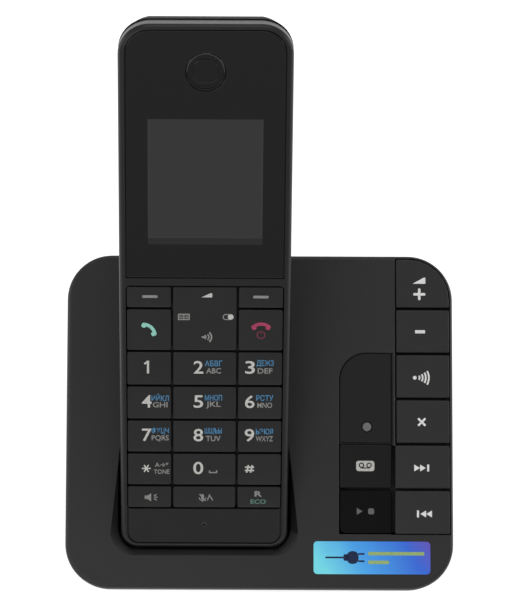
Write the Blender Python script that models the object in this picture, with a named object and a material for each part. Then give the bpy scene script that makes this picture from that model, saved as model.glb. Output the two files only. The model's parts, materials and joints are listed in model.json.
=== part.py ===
# Cordless telephone: a handset standing in its charging base, which has answering machine keys.
# Metres, +Z up. The base's low front edge faces -Y, and +X is the right hand of someone facing it.

import math

import bmesh
import bpy
from mathutils import Matrix, Vector

# ---- Clearances ----
TOUCH = 0.0003  # between pieces that rest on each other
KEY_GAP = 0.0008  # between neighbouring keys
KEY_PLAY = 0.0003  # between a key and the edge of its opening
SCREW_PLAY = 0.0003  # around a screw's shank and head
TINY = 0.0002  # smallest corner radius
FINE = 32  # sides of a round piece that is seen
COARSE = 16  # sides of a round piece that is inside

# ---- Base: sloping cover ----
BASE_WIDTH = 0.1123
SLOPE_LENGTH = 0.0972
SLOPE_ANGLE = math.radians(26.0)
BASE_CORNER = 0.0130
COVER_DEPTH = 0.0090
COVER_WALL = 0.0020
ROOF = 0.0024
EDGE_ROUND = 0.0009

# ---- Base: lower case ----
LOWER_INSET = 0.0015
LOWER_WALL = 0.0020
FEET_HEIGHT = 0.0012
FOOT_RADIUS = 0.0045
FOOT_THICKNESS = 0.0016
REAR_SETBACK = 0.0060
REAR_CORNER = 0.0070
LINER_ABOVE_DESK = 0.0071

# ---- Handset ----
HANDSET_WIDTH = 0.0480
HANDSET_LENGTH = 0.1570
HANDSET_DEPTH = 0.0172
HANDSET_TOP_DEPTH = 0.0130
TAPER_START = 0.1200
FRONT_DEPTH = 0.0070
TOP_CORNER = 0.0085
BOTTOM_CORNER = 0.0050
FRONT_ROUND = 0.0016
BACK_ROUND = 0.0060
SHELL_WALL = 0.0016
FACE_WALL = 0.0018
RIM_WIDTH = 0.00185

# ---- How the handset stands ----
HANDSET_LEAN = math.radians(54.25)
HANDSET_SIDE_MARGIN = 0.01621
HANDSET_REST = 0.01169
POCKET_GAP = 0.0010
LINER_WALL = 0.0018
POCKET_LIP = 0.0009

# ---- Handset face ----
PANEL_DEPTH = 0.0010
PANEL_TOP_MARGIN = 0.0013
KEYPAD_LOW = 0.01273
KEY_ROWS = (0.0072, 0.0103, 0.0103, 0.0105, 0.0106)
TALK_ROW = 0.01293
SOFT_ROW = 0.00680
PANEL_BAR = 0.0026
CENTRE_KEY_WIDTH = 0.0176
KEY_TOP = -0.00015
KEY_THICKNESS = 0.00205
MEMBRANE_DROP = 0.0008
MEMBRANE_THICKNESS = 0.0016
BOARD_DROP = 0.0006
BOARD_THICKNESS = 0.0010
BOARD_SIDE_GAP = 0.0012
GLASS_THICKNESS = 0.0007
SCREEN_LOW = 0.0938
SCREEN_HEIGHT = 0.0370
SCREEN_WIDTH = 0.0326
LCD_MARGIN = 0.0022
LCD_THICKNESS = 0.0026
EARPIECE_HEIGHT = 0.1438
EARPIECE_RADIUS = 0.0054
EARPIECE_PAD = 0.0066
MICROPHONE_HEIGHT = 0.00755

CONTACT_SPACING = 0.0160
CONTACT_CARRIER = 0.0010
CONTACT_HALF_WIDTH = 0.0016
CONTACT_HEIGHT = 0.0030
CONTACT_BELOW_ROUND = 0.0022
TONGUE_HALF_WIDTH = 0.0009
RINGER_HEIGHT = 0.1292
RINGER_TOP = -0.0090
RINGER_RADIUS = 0.0080
RINGER_SLOT_LOW = 0.1240
RINGER_SLOT_PITCH = 0.0026
EARPIECE_SPEAKER_RADIUS = 0.0062
SMALL_SPEAKER_HEIGHT = 0.0028
MICROPHONE_RADIUS = 0.0020
KEY_CORNER = 0.0004
KEY_CROWN = 0.0003
PIVOT_HALF = 0.0030
PIVOT_THICKNESS = 0.0006

# ---- Battery ----
CELL_RADIUS = 0.00515
CELL_LENGTH = 0.0445
CELL_SPACING = 0.0108
CELL_LOW = 0.0558
WELL_MARGIN = 0.0018
WELL_SIDE = 0.0006
WELL_WALL = 0.0010
COVER_LOW = 0.0460
COVER_HIGH = 0.1160
BATTERY_COVER_WIDTH = 0.0360
BATTERY_COVER_PROUD = 0.0027
BATTERY_COVER_WALL = 0.0014

# ---- Base keys ----
COLUMN_WIDTH = 0.0154
COLUMN_BORDER = 0.0010
COLUMN_PITCH = 0.01318
TOP_KEY_HEIGHT = 0.0145
SKIP_KEY_EXTRA = 0.0004
BASE_KEY_PROUD = 0.0001
BASE_KEY_THICKNESS = 0.0033
RIB_WIDTH = 0.0012
STRIP_WIDTH = 0.0155
STRIP_LOW = 0.0160
STRIP_KEYS = 0.02625
STRIP_LENGTH = 0.05285
STRIP_RECESS = 0.0017
STRIP_CORNER = 0.0080
WINDOW_DROP = 0.0006
WINDOW_THICKNESS = 0.0009
LAMP_RADIUS = 0.0013
LAMP_HEIGHT = 0.0472
PLAY_KEY_HEIGHT = 0.0125
PLAY_KEY_DROP = 0.0013
ANSWER_KEY_DROP = 0.0006
MAT_DROP = 0.0010
MAT_THICKNESS = 0.0016
BASE_BOARD_DROP = 0.0024
BASE_BOARD_THICKNESS = 0.0016

# ---- Fasteners and sockets ----
SCREW_RADIUS = 0.0010
SCREW_HEAD_RADIUS = 0.0019
SCREW_HEAD_HEIGHT = 0.0013
SCREW_LENGTH = 0.0080
BOSS_RADIUS = 0.0029
POST_HEIGHT = 0.0062
SCREW_FROM_REAR = 0.0110
LINE_JACK = (0.0126, 0.0140, 0.0118)
LINE_SOCKET = (0.0097, 0.0120, 0.0066)
LINE_JACK_X = -0.0400
POWER_JACK = (0.0090, 0.0130, 0.0100)
POWER_BORE_RADIUS = 0.0028
POWER_PIN_RADIUS = 0.0009
POWER_JACK_X = -0.0180
JACK_HEIGHT = 0.0150

# ---- Base loudspeaker ----
BASE_SPEAKER_RADIUS = 0.0150
BASE_SPEAKER_HEIGHT = 0.0100
BASE_SLOT_HALF_LENGTH = 0.0110
BASE_SLOT_HALF_WIDTH = 0.0007
BASE_SLOT_PITCH = 0.0040

HALF_BASE = BASE_WIDTH / 2
HALF_HANDSET = HANDSET_WIDTH / 2
HANDSET_X = -HALF_BASE + HANDSET_SIDE_MARGIN + HALF_HANDSET

COLUMN_RIGHT = HALF_BASE - COLUMN_BORDER
COLUMN_LEFT = COLUMN_RIGHT - COLUMN_WIDTH
COLUMN_TOP = SLOPE_LENGTH - COLUMN_BORDER
TOP_KEY_LOW = COLUMN_TOP - TOP_KEY_HEIGHT
COLUMN_LOW = TOP_KEY_LOW - 5 * COLUMN_PITCH
STRIP_RIGHT = COLUMN_LEFT - RIB_WIDTH
STRIP_LEFT = STRIP_RIGHT - STRIP_WIDTH
BASE_KEY_LOW = BASE_KEY_PROUD - BASE_KEY_THICKNESS
MAT_TOP = BASE_KEY_LOW - MAT_DROP
BASE_BOARD_TOP = MAT_TOP - MAT_THICKNESS - BASE_BOARD_DROP

KEYPAD_HALF = HALF_HANDSET - RIM_WIDTH - KEY_PLAY
KEYPAD_HIGH = KEYPAD_LOW + sum(KEY_ROWS) + TALK_ROW + SOFT_ROW
PANEL_LOW = KEYPAD_HIGH + PANEL_BAR
KEY_LOW = KEY_TOP - KEY_THICKNESS
MEMBRANE_TOP = KEY_LOW - MEMBRANE_DROP
BOARD_TOP = MEMBRANE_TOP - MEMBRANE_THICKNESS - BOARD_DROP
BOARD_LOW = BOARD_TOP - BOARD_THICKNESS
REAR_TOP = -FRONT_DEPTH - TOUCH
CELL_AXIS = -HANDSET_DEPTH - BATTERY_COVER_PROUD + BATTERY_COVER_WALL + TOUCH + CELL_RADIUS
WELL_HALF = CELL_SPACING / 2 + CELL_RADIUS + WELL_SIDE
WELL_LOW = CELL_LOW - WELL_MARGIN
WELL_HIGH = CELL_LOW + CELL_LENGTH + WELL_MARGIN
WELL_FLOOR = CELL_AXIS + CELL_RADIUS + TOUCH


# ---- Building blocks ----

def material(name, colour, roughness, metallic=0.0, alpha=1.0):
    made = bpy.data.materials.new(name)
    made.use_nodes = True
    shader = made.node_tree.nodes["Principled BSDF"]
    shader.inputs["Base Color"].default_value = (*colour, 1.0)
    shader.inputs["Roughness"].default_value = roughness
    shader.inputs["Metallic"].default_value = metallic
    shader.inputs["Alpha"].default_value = alpha
    return made


def empty(name, parent=None, location=(0, 0, 0), tilt=0.0):
    made = bpy.data.objects.new(name, None)
    bpy.context.scene.collection.objects.link(made)
    made.parent = parent
    made.location = location
    made.rotation_euler = (tilt, 0, 0)
    return made


def piece(name, shape, look, parent, location=(0, 0, 0), turn=(0, 0, 0)):
    mesh = bpy.data.meshes.new(name)
    bmesh.ops.recalc_face_normals(shape, faces=shape.faces[:])
    shape.to_mesh(mesh)
    shape.free()
    mesh.shade_smooth()
    mesh.set_sharp_from_angle(angle=math.radians(30))
    made = bpy.data.objects.new(name, mesh)
    bpy.context.scene.collection.objects.link(made)
    made.parent = parent
    made.location = location
    made.rotation_euler = turn
    if look:
        mesh.materials.append(look)
    return made


def tool(name, shape, parent, location=(0, 0, 0), turn=(0, 0, 0)):
    """A shape that only cuts, joins or trims another."""
    made = piece(name, shape, None, parent, location, turn)
    made.hide_render = True
    made.display_type = "WIRE"
    return made


def combine(target, other, operation):
    step = target.modifiers.new(other.name, "BOOLEAN")
    step.operation = operation
    step.solver = "EXACT"
    step.object = other


def cut(target, other):
    combine(target, other, "DIFFERENCE")


def join(target, other):
    combine(target, other, "UNION")


def trim(target, other):
    combine(target, other, "INTERSECT")


def grown(rect, by):
    left, right, low, high = rect
    return (left - by, right + by, low - by, high + by)


def rounded_rectangle(rect, radii, steps):
    """Corners run low right, high right, high left, low left; a radius of 0 is a sharp corner."""
    left, right, low, high = rect
    corners = ((right, low, 1, -1), (right, high, 1, 1), (left, high, -1, 1), (left, low, -1, -1))
    points = []
    for index, (x, y, side, end) in enumerate(corners):
        radius = radii[index]
        if radius == 0:
            points.append((x, y))
            continue
        start = -math.pi / 2 + index * math.pi / 2
        for step in range(steps + 1):
            angle = start + step * math.pi / 2 / steps
            points.append((
                x - side * radius + radius * math.cos(angle),
                y - end * radius + radius * math.sin(angle),
            ))
    return points


def levels(low, high, round_low=0.0, round_high=0.0, steps=3):
    """(inset, height) pairs of a wall with rounded lower and upper edges."""
    rows = [(0.0, low)] if round_low == 0 else []
    arc = [step * math.pi / 2 / steps for step in range(steps + 1)]
    if round_low:
        rows += [(round_low * (1 - math.sin(a)), low + round_low * (1 - math.cos(a))) for a in arc]
    if round_high:
        rows += [
            (round_high * (1 - math.sin(a)), high - round_high * (1 - math.cos(a)))
            for a in reversed(arc)
        ]
    else:
        rows.append((0.0, high))
    return rows


def loft(rect, radii, rows, steps=4):
    """A closed solid through rounded rectangles, one for each (inset, height) row."""
    shape = bmesh.new()
    rings = []
    for inset, height in rows:
        inner = [max(radius - inset, TINY) if radius else 0 for radius in radii]
        outline = rounded_rectangle(grown(rect, -inset), inner, steps)
        rings.append([shape.verts.new((x, y, height)) for x, y in outline])
    shape.faces.new(rings[0][::-1])
    shape.faces.new(rings[-1])
    for lower, upper in zip(rings, rings[1:]):
        for index, corner in enumerate(lower):
            after = (index + 1) % len(lower)
            shape.faces.new((corner, lower[after], upper[after], upper[index]))
    return shape


def plate(rect, radius, low, high, steps=3):
    return loft(rect, (radius,) * 4, levels(low, high), steps)


def block(rect, low, high):
    return loft(rect, (0, 0, 0, 0), levels(low, high))


def outline_plate(outline, low, high):
    shape = bmesh.new()
    face = shape.faces.new([shape.verts.new((x, y, low)) for x, y in outline])
    made = bmesh.ops.extrude_face_region(shape, geom=[face])["geom"]
    rising = [item for item in made if isinstance(item, bmesh.types.BMVert)]
    bmesh.ops.translate(shape, verts=rising, vec=(0, 0, high - low))
    return shape


def turned(profile, sides):
    """A solid of revolution about Z. The profile's first and last points lie on the axis."""
    shape = bmesh.new()
    points = [shape.verts.new((radius, 0, height)) for radius, height in profile]
    edges = [shape.edges.new(pair) for pair in zip(points, points[1:])]
    bmesh.ops.spin(
        shape, geom=points + edges, axis=(0, 0, 1), cent=(0, 0, 0), angle=2 * math.pi, steps=sides,
        use_merge=True,
    )
    bmesh.ops.remove_doubles(shape, verts=shape.verts[:], dist=1e-7)
    return shape


def disc(radius, low, high, sides=COARSE):
    return turned([(0, low), (radius, low), (radius, high), (0, high)], sides)


def copies(shape, offsets):
    """Moves a shape to the first offset and adds a copy of it at each other one."""
    source = shape.verts[:] + shape.edges[:] + shape.faces[:]
    corners = shape.verts[:]
    for offset in offsets[1:]:
        made = bmesh.ops.duplicate(shape, geom=source)["geom"]
        moved = [item for item in made if isinstance(item, bmesh.types.BMVert)]
        bmesh.ops.translate(shape, verts=moved, vec=offset)
    bmesh.ops.translate(shape, verts=corners, vec=offsets[0])
    return shape


def gathered(shapes):
    """Several separate solids in one mesh."""
    whole = bmesh.new()
    for shape in shapes:
        mesh = bpy.data.meshes.new("gathered")
        bmesh.ops.recalc_face_normals(shape, faces=shape.faces[:])
        shape.to_mesh(mesh)
        shape.free()
        whole.from_mesh(mesh)
        bpy.data.meshes.remove(mesh)
    return whole


def laid_along_y(shape):
    """Turns a solid that rises along Z so that it runs along -Y, its outline's Y becoming Z."""
    bmesh.ops.rotate(shape, verts=shape.verts[:], cent=(0, 0, 0), matrix=Matrix.Rotation(math.pi / 2, 3, "X"))
    return shape


# ---- Frames ----

def slope_point(across, up, out):
    """A point of the sloping surface's frame, in the base's own."""
    cos, sin = math.cos(SLOPE_ANGLE), math.sin(SLOPE_ANGLE)
    return Vector((across, up * cos - out * sin, front_height() + up * sin + out * cos))


def pocket_drop():
    """How far the pocket liner's lowest edge hangs below the front top edge of the cover."""
    along = POCKET_GAP + LINER_WALL
    deep = HANDSET_DEPTH + POCKET_GAP + LINER_WALL
    corner = (BACK_ROUND + LINER_WALL) * (math.sin(HANDSET_LEAN) + math.cos(HANDSET_LEAN) - 1)
    fall = along * math.sin(HANDSET_LEAN) + deep * math.cos(HANDSET_LEAN) - corner
    return fall - HANDSET_REST * math.sin(SLOPE_ANGLE)


def front_height():
    return LINER_ABOVE_DESK + pocket_drop()


def rear_wall_y():
    return slope_point(0, SLOPE_LENGTH, -COVER_DEPTH).y - REAR_SETBACK


def screw_places():
    """Where the two case screws stand, in plan. The front of the case snaps together."""
    y = rear_wall_y() - SCREW_FROM_REAR
    return {"left": ((LINE_JACK_X + POWER_JACK_X) / 2, y), "right": (speaker_place()[0], y)}


def at_screws(shape):
    return copies(shape, [(x, y, 0) for x, y in screw_places().values()])


# ---- Handset shells ----

def handset_rect():
    return (-HALF_HANDSET, HALF_HANDSET, 0.0, HANDSET_LENGTH)


def handset_radii():
    return (BOTTOM_CORNER, TOP_CORNER, TOP_CORNER, BOTTOM_CORNER)


def inner_radii():
    return tuple(radius - SHELL_WALL for radius in handset_radii())


def tapered(shape):
    """Thins the back towards the top of the handset."""
    for step in range(6):
        height = TAPER_START + step * (HANDSET_LENGTH - TAPER_START) / 6
        everything = shape.verts[:] + shape.edges[:] + shape.faces[:]
        bmesh.ops.bisect_plane(shape, geom=everything, plane_co=(0, height, 0), plane_no=(0, 1, 0))
    bmesh.ops.triangulate(shape, faces=[face for face in shape.faces if len(face.verts) > 4])
    for corner in shape.verts:
        share = max(0.0, (corner.co.y - TAPER_START) / (HANDSET_LENGTH - TAPER_START))
        depth = HANDSET_DEPTH - (HANDSET_DEPTH - HANDSET_TOP_DEPTH) * share ** 2
        if corner.co.z < REAR_TOP:
            scale = (depth + REAR_TOP) / (HANDSET_DEPTH + REAR_TOP)
            corner.co.z = REAR_TOP + (corner.co.z - REAR_TOP) * scale
    return shape


def screw(length):
    """A pan head screw pointing up, its head's underside at 0."""
    return turned([
        (0, length), (SCREW_RADIUS * 0.5, length), (SCREW_RADIUS, length - SCREW_RADIUS),
        (SCREW_RADIUS, 0), (SCREW_HEAD_RADIUS, 0), (SCREW_HEAD_RADIUS, -SCREW_HEAD_HEIGHT * 0.6),
        (SCREW_HEAD_RADIUS * 0.7, -SCREW_HEAD_HEIGHT), (SCREW_HEAD_RADIUS * 0.35, -SCREW_HEAD_HEIGHT),
        (0, -SCREW_HEAD_HEIGHT * 0.5),
    ], COARSE)


def handset_front(frame, look):
    shell = piece("handset_front_housing", loft(
        handset_rect(), handset_radii(), levels(-FRONT_DEPTH, 0, round_high=FRONT_ROUND), 6,
    ), look, frame)
    hollow = loft(
        grown(handset_rect(), -SHELL_WALL), inner_radii(), levels(-2 * FRONT_DEPTH, -FACE_WALL), 6)
    cut(shell, tool("front_hollow", hollow, frame))
    panel = (-KEYPAD_HALF - KEY_PLAY, KEYPAD_HALF + KEY_PLAY, PANEL_LOW - TOUCH,
             HANDSET_LENGTH - PANEL_TOP_MARGIN)
    corner = TOP_CORNER - RIM_WIDTH
    recess = loft(panel, (TINY, corner, corner, TINY), levels(-PANEL_DEPTH, 0.001), 6)
    keys = (panel[0], panel[1], KEYPAD_LOW - KEY_PLAY, KEYPAD_HIGH + KEY_PLAY)
    opening = plate(keys, 0.0012, -2 * FACE_WALL, 0.001)
    microphone_hole = copies(disc(0.0006, -2 * FACE_WALL, 0.001, 12), [(0, MICROPHONE_HEIGHT, 0)])
    cut(shell, tool("face_cuts", gathered([recess, opening, microphone_hole]), frame))
    screen = (-SCREEN_WIDTH / 2, SCREEN_WIDTH / 2, SCREEN_LOW, SCREEN_LOW + SCREEN_HEIGHT)
    window = plate(grown(screen, 0.0004), 0.0008, -2 * FACE_WALL, -PANEL_DEPTH / 2)
    sound = disc(EARPIECE_RADIUS - 0.001, -2 * FACE_WALL, -PANEL_DEPTH / 2, FINE)
    sound = copies(sound, [(0, EARPIECE_HEIGHT, 0)])
    cut(shell, tool("panel_cuts", gathered([window, sound]), frame))


def handset_rear(frame, look):
    back = levels(-HANDSET_DEPTH, REAR_TOP, round_low=BACK_ROUND, steps=4)
    shell = piece("handset_rear_housing", tapered(loft(
        handset_rect(), handset_radii(), back, 5)), look, frame)
    inside = levels(-HANDSET_DEPTH + SHELL_WALL, 0, round_low=BACK_ROUND - SHELL_WALL, steps=4)
    hollow = tapered(loft(grown(handset_rect(), -SHELL_WALL), inner_radii(), inside, 5))
    cut(shell, tool("rear_hollow", hollow, frame))
    floor = -HANDSET_DEPTH + SHELL_WALL / 2
    well = (-WELL_HALF, WELL_HALF, WELL_LOW, WELL_HIGH)
    tub = plate(grown(well, WELL_WALL), 0.0010, floor, BOARD_LOW - TOUCH)
    join(shell, tool("battery_tub", tub, frame))
    slots = copies(plate((-0.0065, 0.0065, -0.0006, 0.0006), 0.0005, -0.02, -0.0125), [
        (0, RINGER_SLOT_LOW + step * RINGER_SLOT_PITCH, 0) for step in range(5)
    ])
    pad = (-CONTACT_HALF_WIDTH, CONTACT_HALF_WIDTH, -0.01, 0.01)
    charge = block(grown(pad, TOUCH), contact_low() - TOUCH, contact_high() + TOUCH)
    charge = copies(charge, [(side * CONTACT_SPACING / 2, 0, 0) for side in (-1, 1)])
    opened = plate(well, 0.0006, -0.03, WELL_FLOOR)
    cut(shell, tool("rear_cuts", gathered([slots, opened, charge]), frame))


def contact_low():
    return -HANDSET_DEPTH + BACK_ROUND - CONTACT_BELOW_ROUND


def contact_high():
    return contact_low() + CONTACT_HEIGHT


# ---- Handset face pieces ----

def handset_panel(frame, looks):
    half = KEYPAD_HALF + KEY_PLAY - TOUCH
    rect = (-half, half, PANEL_LOW, HANDSET_LENGTH - PANEL_TOP_MARGIN - TOUCH)
    corner = TOP_CORNER - RIM_WIDTH - TOUCH
    top = -PANEL_DEPTH + TOUCH + GLASS_THICKNESS
    glass = loft(rect, (TINY, corner, corner, TINY), levels(-PANEL_DEPTH + TOUCH, top), 6)
    window = piece("display_window", glass, looks["gloss"], frame)
    hole = copies(disc(EARPIECE_RADIUS + TOUCH, -0.01, 0.01, FINE), [(0, EARPIECE_HEIGHT, 0)])
    cut(window, tool("earpiece_opening", hole, frame))
    screen = (-SCREEN_WIDTH / 2, SCREEN_WIDTH / 2, SCREEN_LOW, SCREEN_LOW + SCREEN_HEIGHT)
    lcd_top = -FACE_WALL - TOUCH
    module = plate(grown(screen, LCD_MARGIN), 0.0006, lcd_top - LCD_THICKNESS, lcd_top)
    piece("lcd_module", module, looks["screen"], frame)
    earpiece_cap(frame, looks["satin"])
    place = (0, EARPIECE_HEIGHT, lcd_top - SMALL_SPEAKER_HEIGHT)
    speaker(frame, "earpiece_speaker", looks["steel"], EARPIECE_SPEAKER_RADIUS, place, SMALL_SPEAKER_HEIGHT)


def earpiece_cap(frame, look):
    base, top = -PANEL_DEPTH + TOUCH, -PANEL_DEPTH + TOUCH + GLASS_THICKNESS
    dish = turned([
        (0, base), (EARPIECE_RADIUS, base), (EARPIECE_RADIUS, top), (EARPIECE_RADIUS - 0.0004, top),
        (EARPIECE_RADIUS - 0.0009, base + 0.00025), (0, base + 0.00025),
    ], FINE)
    cap = piece("earpiece_cap", dish, look, frame, (0, EARPIECE_HEIGHT, 0))
    half = EARPIECE_PAD / 2
    pad = plate((-half, half, -half, half), 0.0012, base + 0.0001, top - 0.0001)
    join(cap, tool("earpiece_pad", pad, frame, (0, EARPIECE_HEIGHT, 0)))
    slot = (-0.0018, 0.0018, half - 0.0001, half + 0.0007)
    slots = []
    for quarter in range(4):
        shape = block(slot, base - 0.001, top + 0.001)
        turn = Matrix.Rotation(quarter * math.pi / 2, 3, "Z")
        bmesh.ops.rotate(shape, verts=shape.verts[:], cent=(0, 0, 0), matrix=turn)
        slots.append(shape)
    cut(cap, tool("earpiece_slots", gathered(slots), frame, (0, EARPIECE_HEIGHT, 0)))


def speaker(frame, name, look, radius, place, height):
    """A round loudspeaker: a basket, and a magnet that is two thirds as wide behind it."""
    magnet = radius * 2 / 3
    waist = height / 2
    profile = [(0, 0), (magnet, 0), (magnet, waist), (radius, waist), (radius, height), (0, height)]
    return piece(name, turned(profile, COARSE), look, frame, place)


def key_shape(rect, centre, low, high, corner, crown):
    x, y = centre
    left, right, bottom, top = rect
    return loft((left - x, right - x, bottom - y, top - y), (corner,) * 4,
                [(0, low), (0, high - crown), (crown * 0.35, high - crown * 0.3), (crown, high)], 2)


def handset_key(frame, name, rect, look):
    centre = ((rect[0] + rect[1]) / 2, (rect[2] + rect[3]) / 2)
    shape = key_shape(rect, centre, KEY_LOW, KEY_TOP, KEY_CORNER, KEY_CROWN)
    return piece(name, shape, look, frame, (centre[0], centre[1], 0))


def keypad(frame, looks):
    half, inner, gap = KEYPAD_HALF, CENTRE_KEY_WIDTH / 2, KEY_GAP
    columns = ((-half, -inner - gap), (-inner, inner), (inner + gap, half))
    names = (
        ("speakerphone_key", "mute_key", "recall_key"), ("key_star", "key_0", "key_hash"),
        ("key_7", "key_8", "key_9"), ("key_4", "key_5", "key_6"), ("key_1", "key_2", "key_3"),
    )
    low = KEYPAD_LOW
    for row, height in zip(names, KEY_ROWS):
        for name, (left, right) in zip(row, columns):
            handset_key(frame, name, (left, right, low + gap / 2, low + height - gap / 2), looks["key"])
        low += height
    split = low + TALK_ROW
    pairs = (
        ("talk_key", "off_key", low, split), ("soft_key_left", "soft_key_right", split, KEYPAD_HIGH),
    )
    for left_name, right_name, bottom, top in pairs:
        for name, (left, right) in ((left_name, columns[0]), (right_name, columns[2])):
            handset_key(frame, name, (left, right, bottom + gap / 2, top - gap / 2), looks["key"])
    navigator(frame, (-inner, inner, low + gap / 2, KEYPAD_HIGH - gap / 2), looks)
    mat = (-KEYPAD_HALF, KEYPAD_HALF, KEYPAD_LOW, KEYPAD_HIGH)
    membrane = plate(mat, 0.001, MEMBRANE_TOP - MEMBRANE_THICKNESS, MEMBRANE_TOP)
    piece("keypad_membrane", membrane, looks["silicone"], frame)


def navigator(frame, rect, looks):
    """The four-way key tilts on a small pivot plate, which itself tilts about the other axis."""
    centre = (0, (rect[2] + rect[3]) / 2)
    pivot = empty("navigator_axis", frame, (0, centre[1], KEY_LOW - 0.0001))
    low = PIVOT_THICKNESS / 2 + KEY_CORNER
    shape = key_shape(rect, centre, low, KEY_TOP - KEY_LOW + 0.0001, KEY_CORNER, KEY_CROWN)
    piece("navigator_key", shape, looks["key"], pivot)
    rect = (-PIVOT_HALF, PIVOT_HALF, -PIVOT_HALF, PIVOT_HALF)
    pivot_plate = plate(rect, PIVOT_THICKNESS, -PIVOT_THICKNESS / 2, PIVOT_THICKNESS / 2)
    piece("navigator_pivot", pivot_plate, looks["steel"], pivot)


# ---- Handset insides ----

def handset_insides(frame, looks):
    side = KEYPAD_HALF - BOARD_SIDE_GAP
    rect = (-side, side, MICROPHONE_HEIGHT - 0.0030, SCREEN_LOW + SCREEN_HEIGHT + 0.0030)
    board = piece("handset_circuit_board", plate(rect, 0.001, BOARD_LOW, BOARD_TOP), looks["board"], frame)
    microphone = disc(MICROPHONE_RADIUS, BOARD_TOP - BOARD_THICKNESS / 2, -FACE_WALL - TOUCH)
    join(board, tool("microphone_capsule", microphone, frame, (0, MICROPHONE_HEIGHT, 0)))
    turn = (-math.pi / 2, 0, 0)
    nub = CELL_RADIUS * 0.5
    for name, side, flip in (("battery_cell_left", -1, 1), ("battery_cell_right", 1, -1)):
        profile = [
            (0, 0), (CELL_RADIUS - 0.0006, 0), (CELL_RADIUS, 0.0006), (CELL_RADIUS, CELL_LENGTH - 0.0014),
            (CELL_RADIUS - 0.0006, CELL_LENGTH - 0.0008), (nub, CELL_LENGTH - 0.0008),
            (nub, CELL_LENGTH), (0, CELL_LENGTH),
        ]
        if flip < 0:
            profile = [(radius, CELL_LENGTH - height) for radius, height in reversed(profile)]
        place = (side * CELL_SPACING / 2, CELL_LOW, CELL_AXIS)
        piece(name, turned(profile, 24), looks["cell"], frame, place, turn)
    battery_terminals(frame, looks["steel"])
    handset_battery_cover(frame, looks["rear"])
    place = (0, RINGER_HEIGHT, RINGER_TOP)
    ringer = speaker(frame, "ringer_speaker", looks["steel"], RINGER_RADIUS, place, SMALL_SPEAKER_HEIGHT)
    ringer.rotation_euler = (math.pi, 0, 0)
    inside = SHELL_WALL + CONTACT_CARRIER
    contact = (-CONTACT_HALF_WIDTH, CONTACT_HALF_WIDTH, 0.0001, inside + 0.0001)
    contact = block(contact, contact_low(), contact_high())
    contact = copies(contact, [(side * CONTACT_SPACING / 2, 0, 0) for side in (-1, 1)])
    half = CONTACT_SPACING / 2 + CONTACT_HALF_WIDTH
    carrier = (-half, half, inside, inside + CONTACT_CARRIER)
    carrier = piece(
        "handset_charge_contacts", block(carrier, contact_low(), contact_high()), looks["gold"], frame)
    join(carrier, tool("charge_pads", contact, frame))


def battery_terminals(frame, look):
    """A sprung leaf for each cell at each end of the well, on a strip that holds the pair."""
    thick = 0.0004
    for name, y, inward in (("lower", WELL_LOW + TOUCH, 1), ("upper", WELL_HIGH - TOUCH - thick, -1)):
        half = CELL_SPACING / 2 + 0.0030
        strip = block((-half, half, y, y + thick), CELL_AXIS - 0.0030, CELL_AXIS + 0.0030)
        strip = piece(f"battery_terminals_{name}", strip, look, frame)
        dimple = block((-0.0012, 0.0012, -thick * 1.4, thick * 1.4), CELL_AXIS - 0.0012, CELL_AXIS + 0.0012)
        middle = y + thick / 2 + inward * thick / 2
        dimple = copies(dimple, [(side * CELL_SPACING / 2, middle, 0) for side in (-1, 1)])
        near, far = min(y, y + inward * 2 * thick), max(y + thick, y + thick + inward * thick)
        keep = block((-1, 1, near, far), -1, 1)
        dimple = tool(f"dimples_{name}", dimple, frame)
        trim(dimple, tool(f"dimple_limits_{name}", keep, frame))
        join(strip, dimple)


def handset_battery_cover(frame, look):
    half = BATTERY_COVER_WIDTH / 2
    outer, inner = -HANDSET_DEPTH - BATTERY_COVER_PROUD, -HANDSET_DEPTH - TOUCH
    rect = (-half, half, 0, COVER_HIGH - COVER_LOW)
    edge = levels(outer, inner, round_low=BATTERY_COVER_PROUD - TOUCH - 0.0002)
    cover = piece("battery_cover", loft(rect, (0.004,) * 4, edge, 5), look, frame, (0, COVER_LOW, 0))
    hollow = plate(grown(rect, -0.0022), 0.0020, outer + BATTERY_COVER_WALL, inner + 0.001)
    cut(cover, tool("cover_hollow", hollow, frame, (0, COVER_LOW, 0)))
    return cover


# ---- Base shells ----

def pocket_shape(wall, length):
    """The handset's cross-section grown by the pocket's gap and a wall, run along the handset."""
    by = POCKET_GAP + wall
    rect = (-HALF_HANDSET - by, HALF_HANDSET + by, -HANDSET_DEPTH - by, 0.030)
    corner = BACK_ROUND + by
    rows = levels(-length, by, round_high=BOTTOM_CORNER + by, steps=4)
    return laid_along_y(loft(rect, (corner, 0.001, 0.001, corner), rows, 5))


def cover_rect():
    return (-HALF_BASE, HALF_BASE, 0.0, SLOPE_LENGTH)


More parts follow.
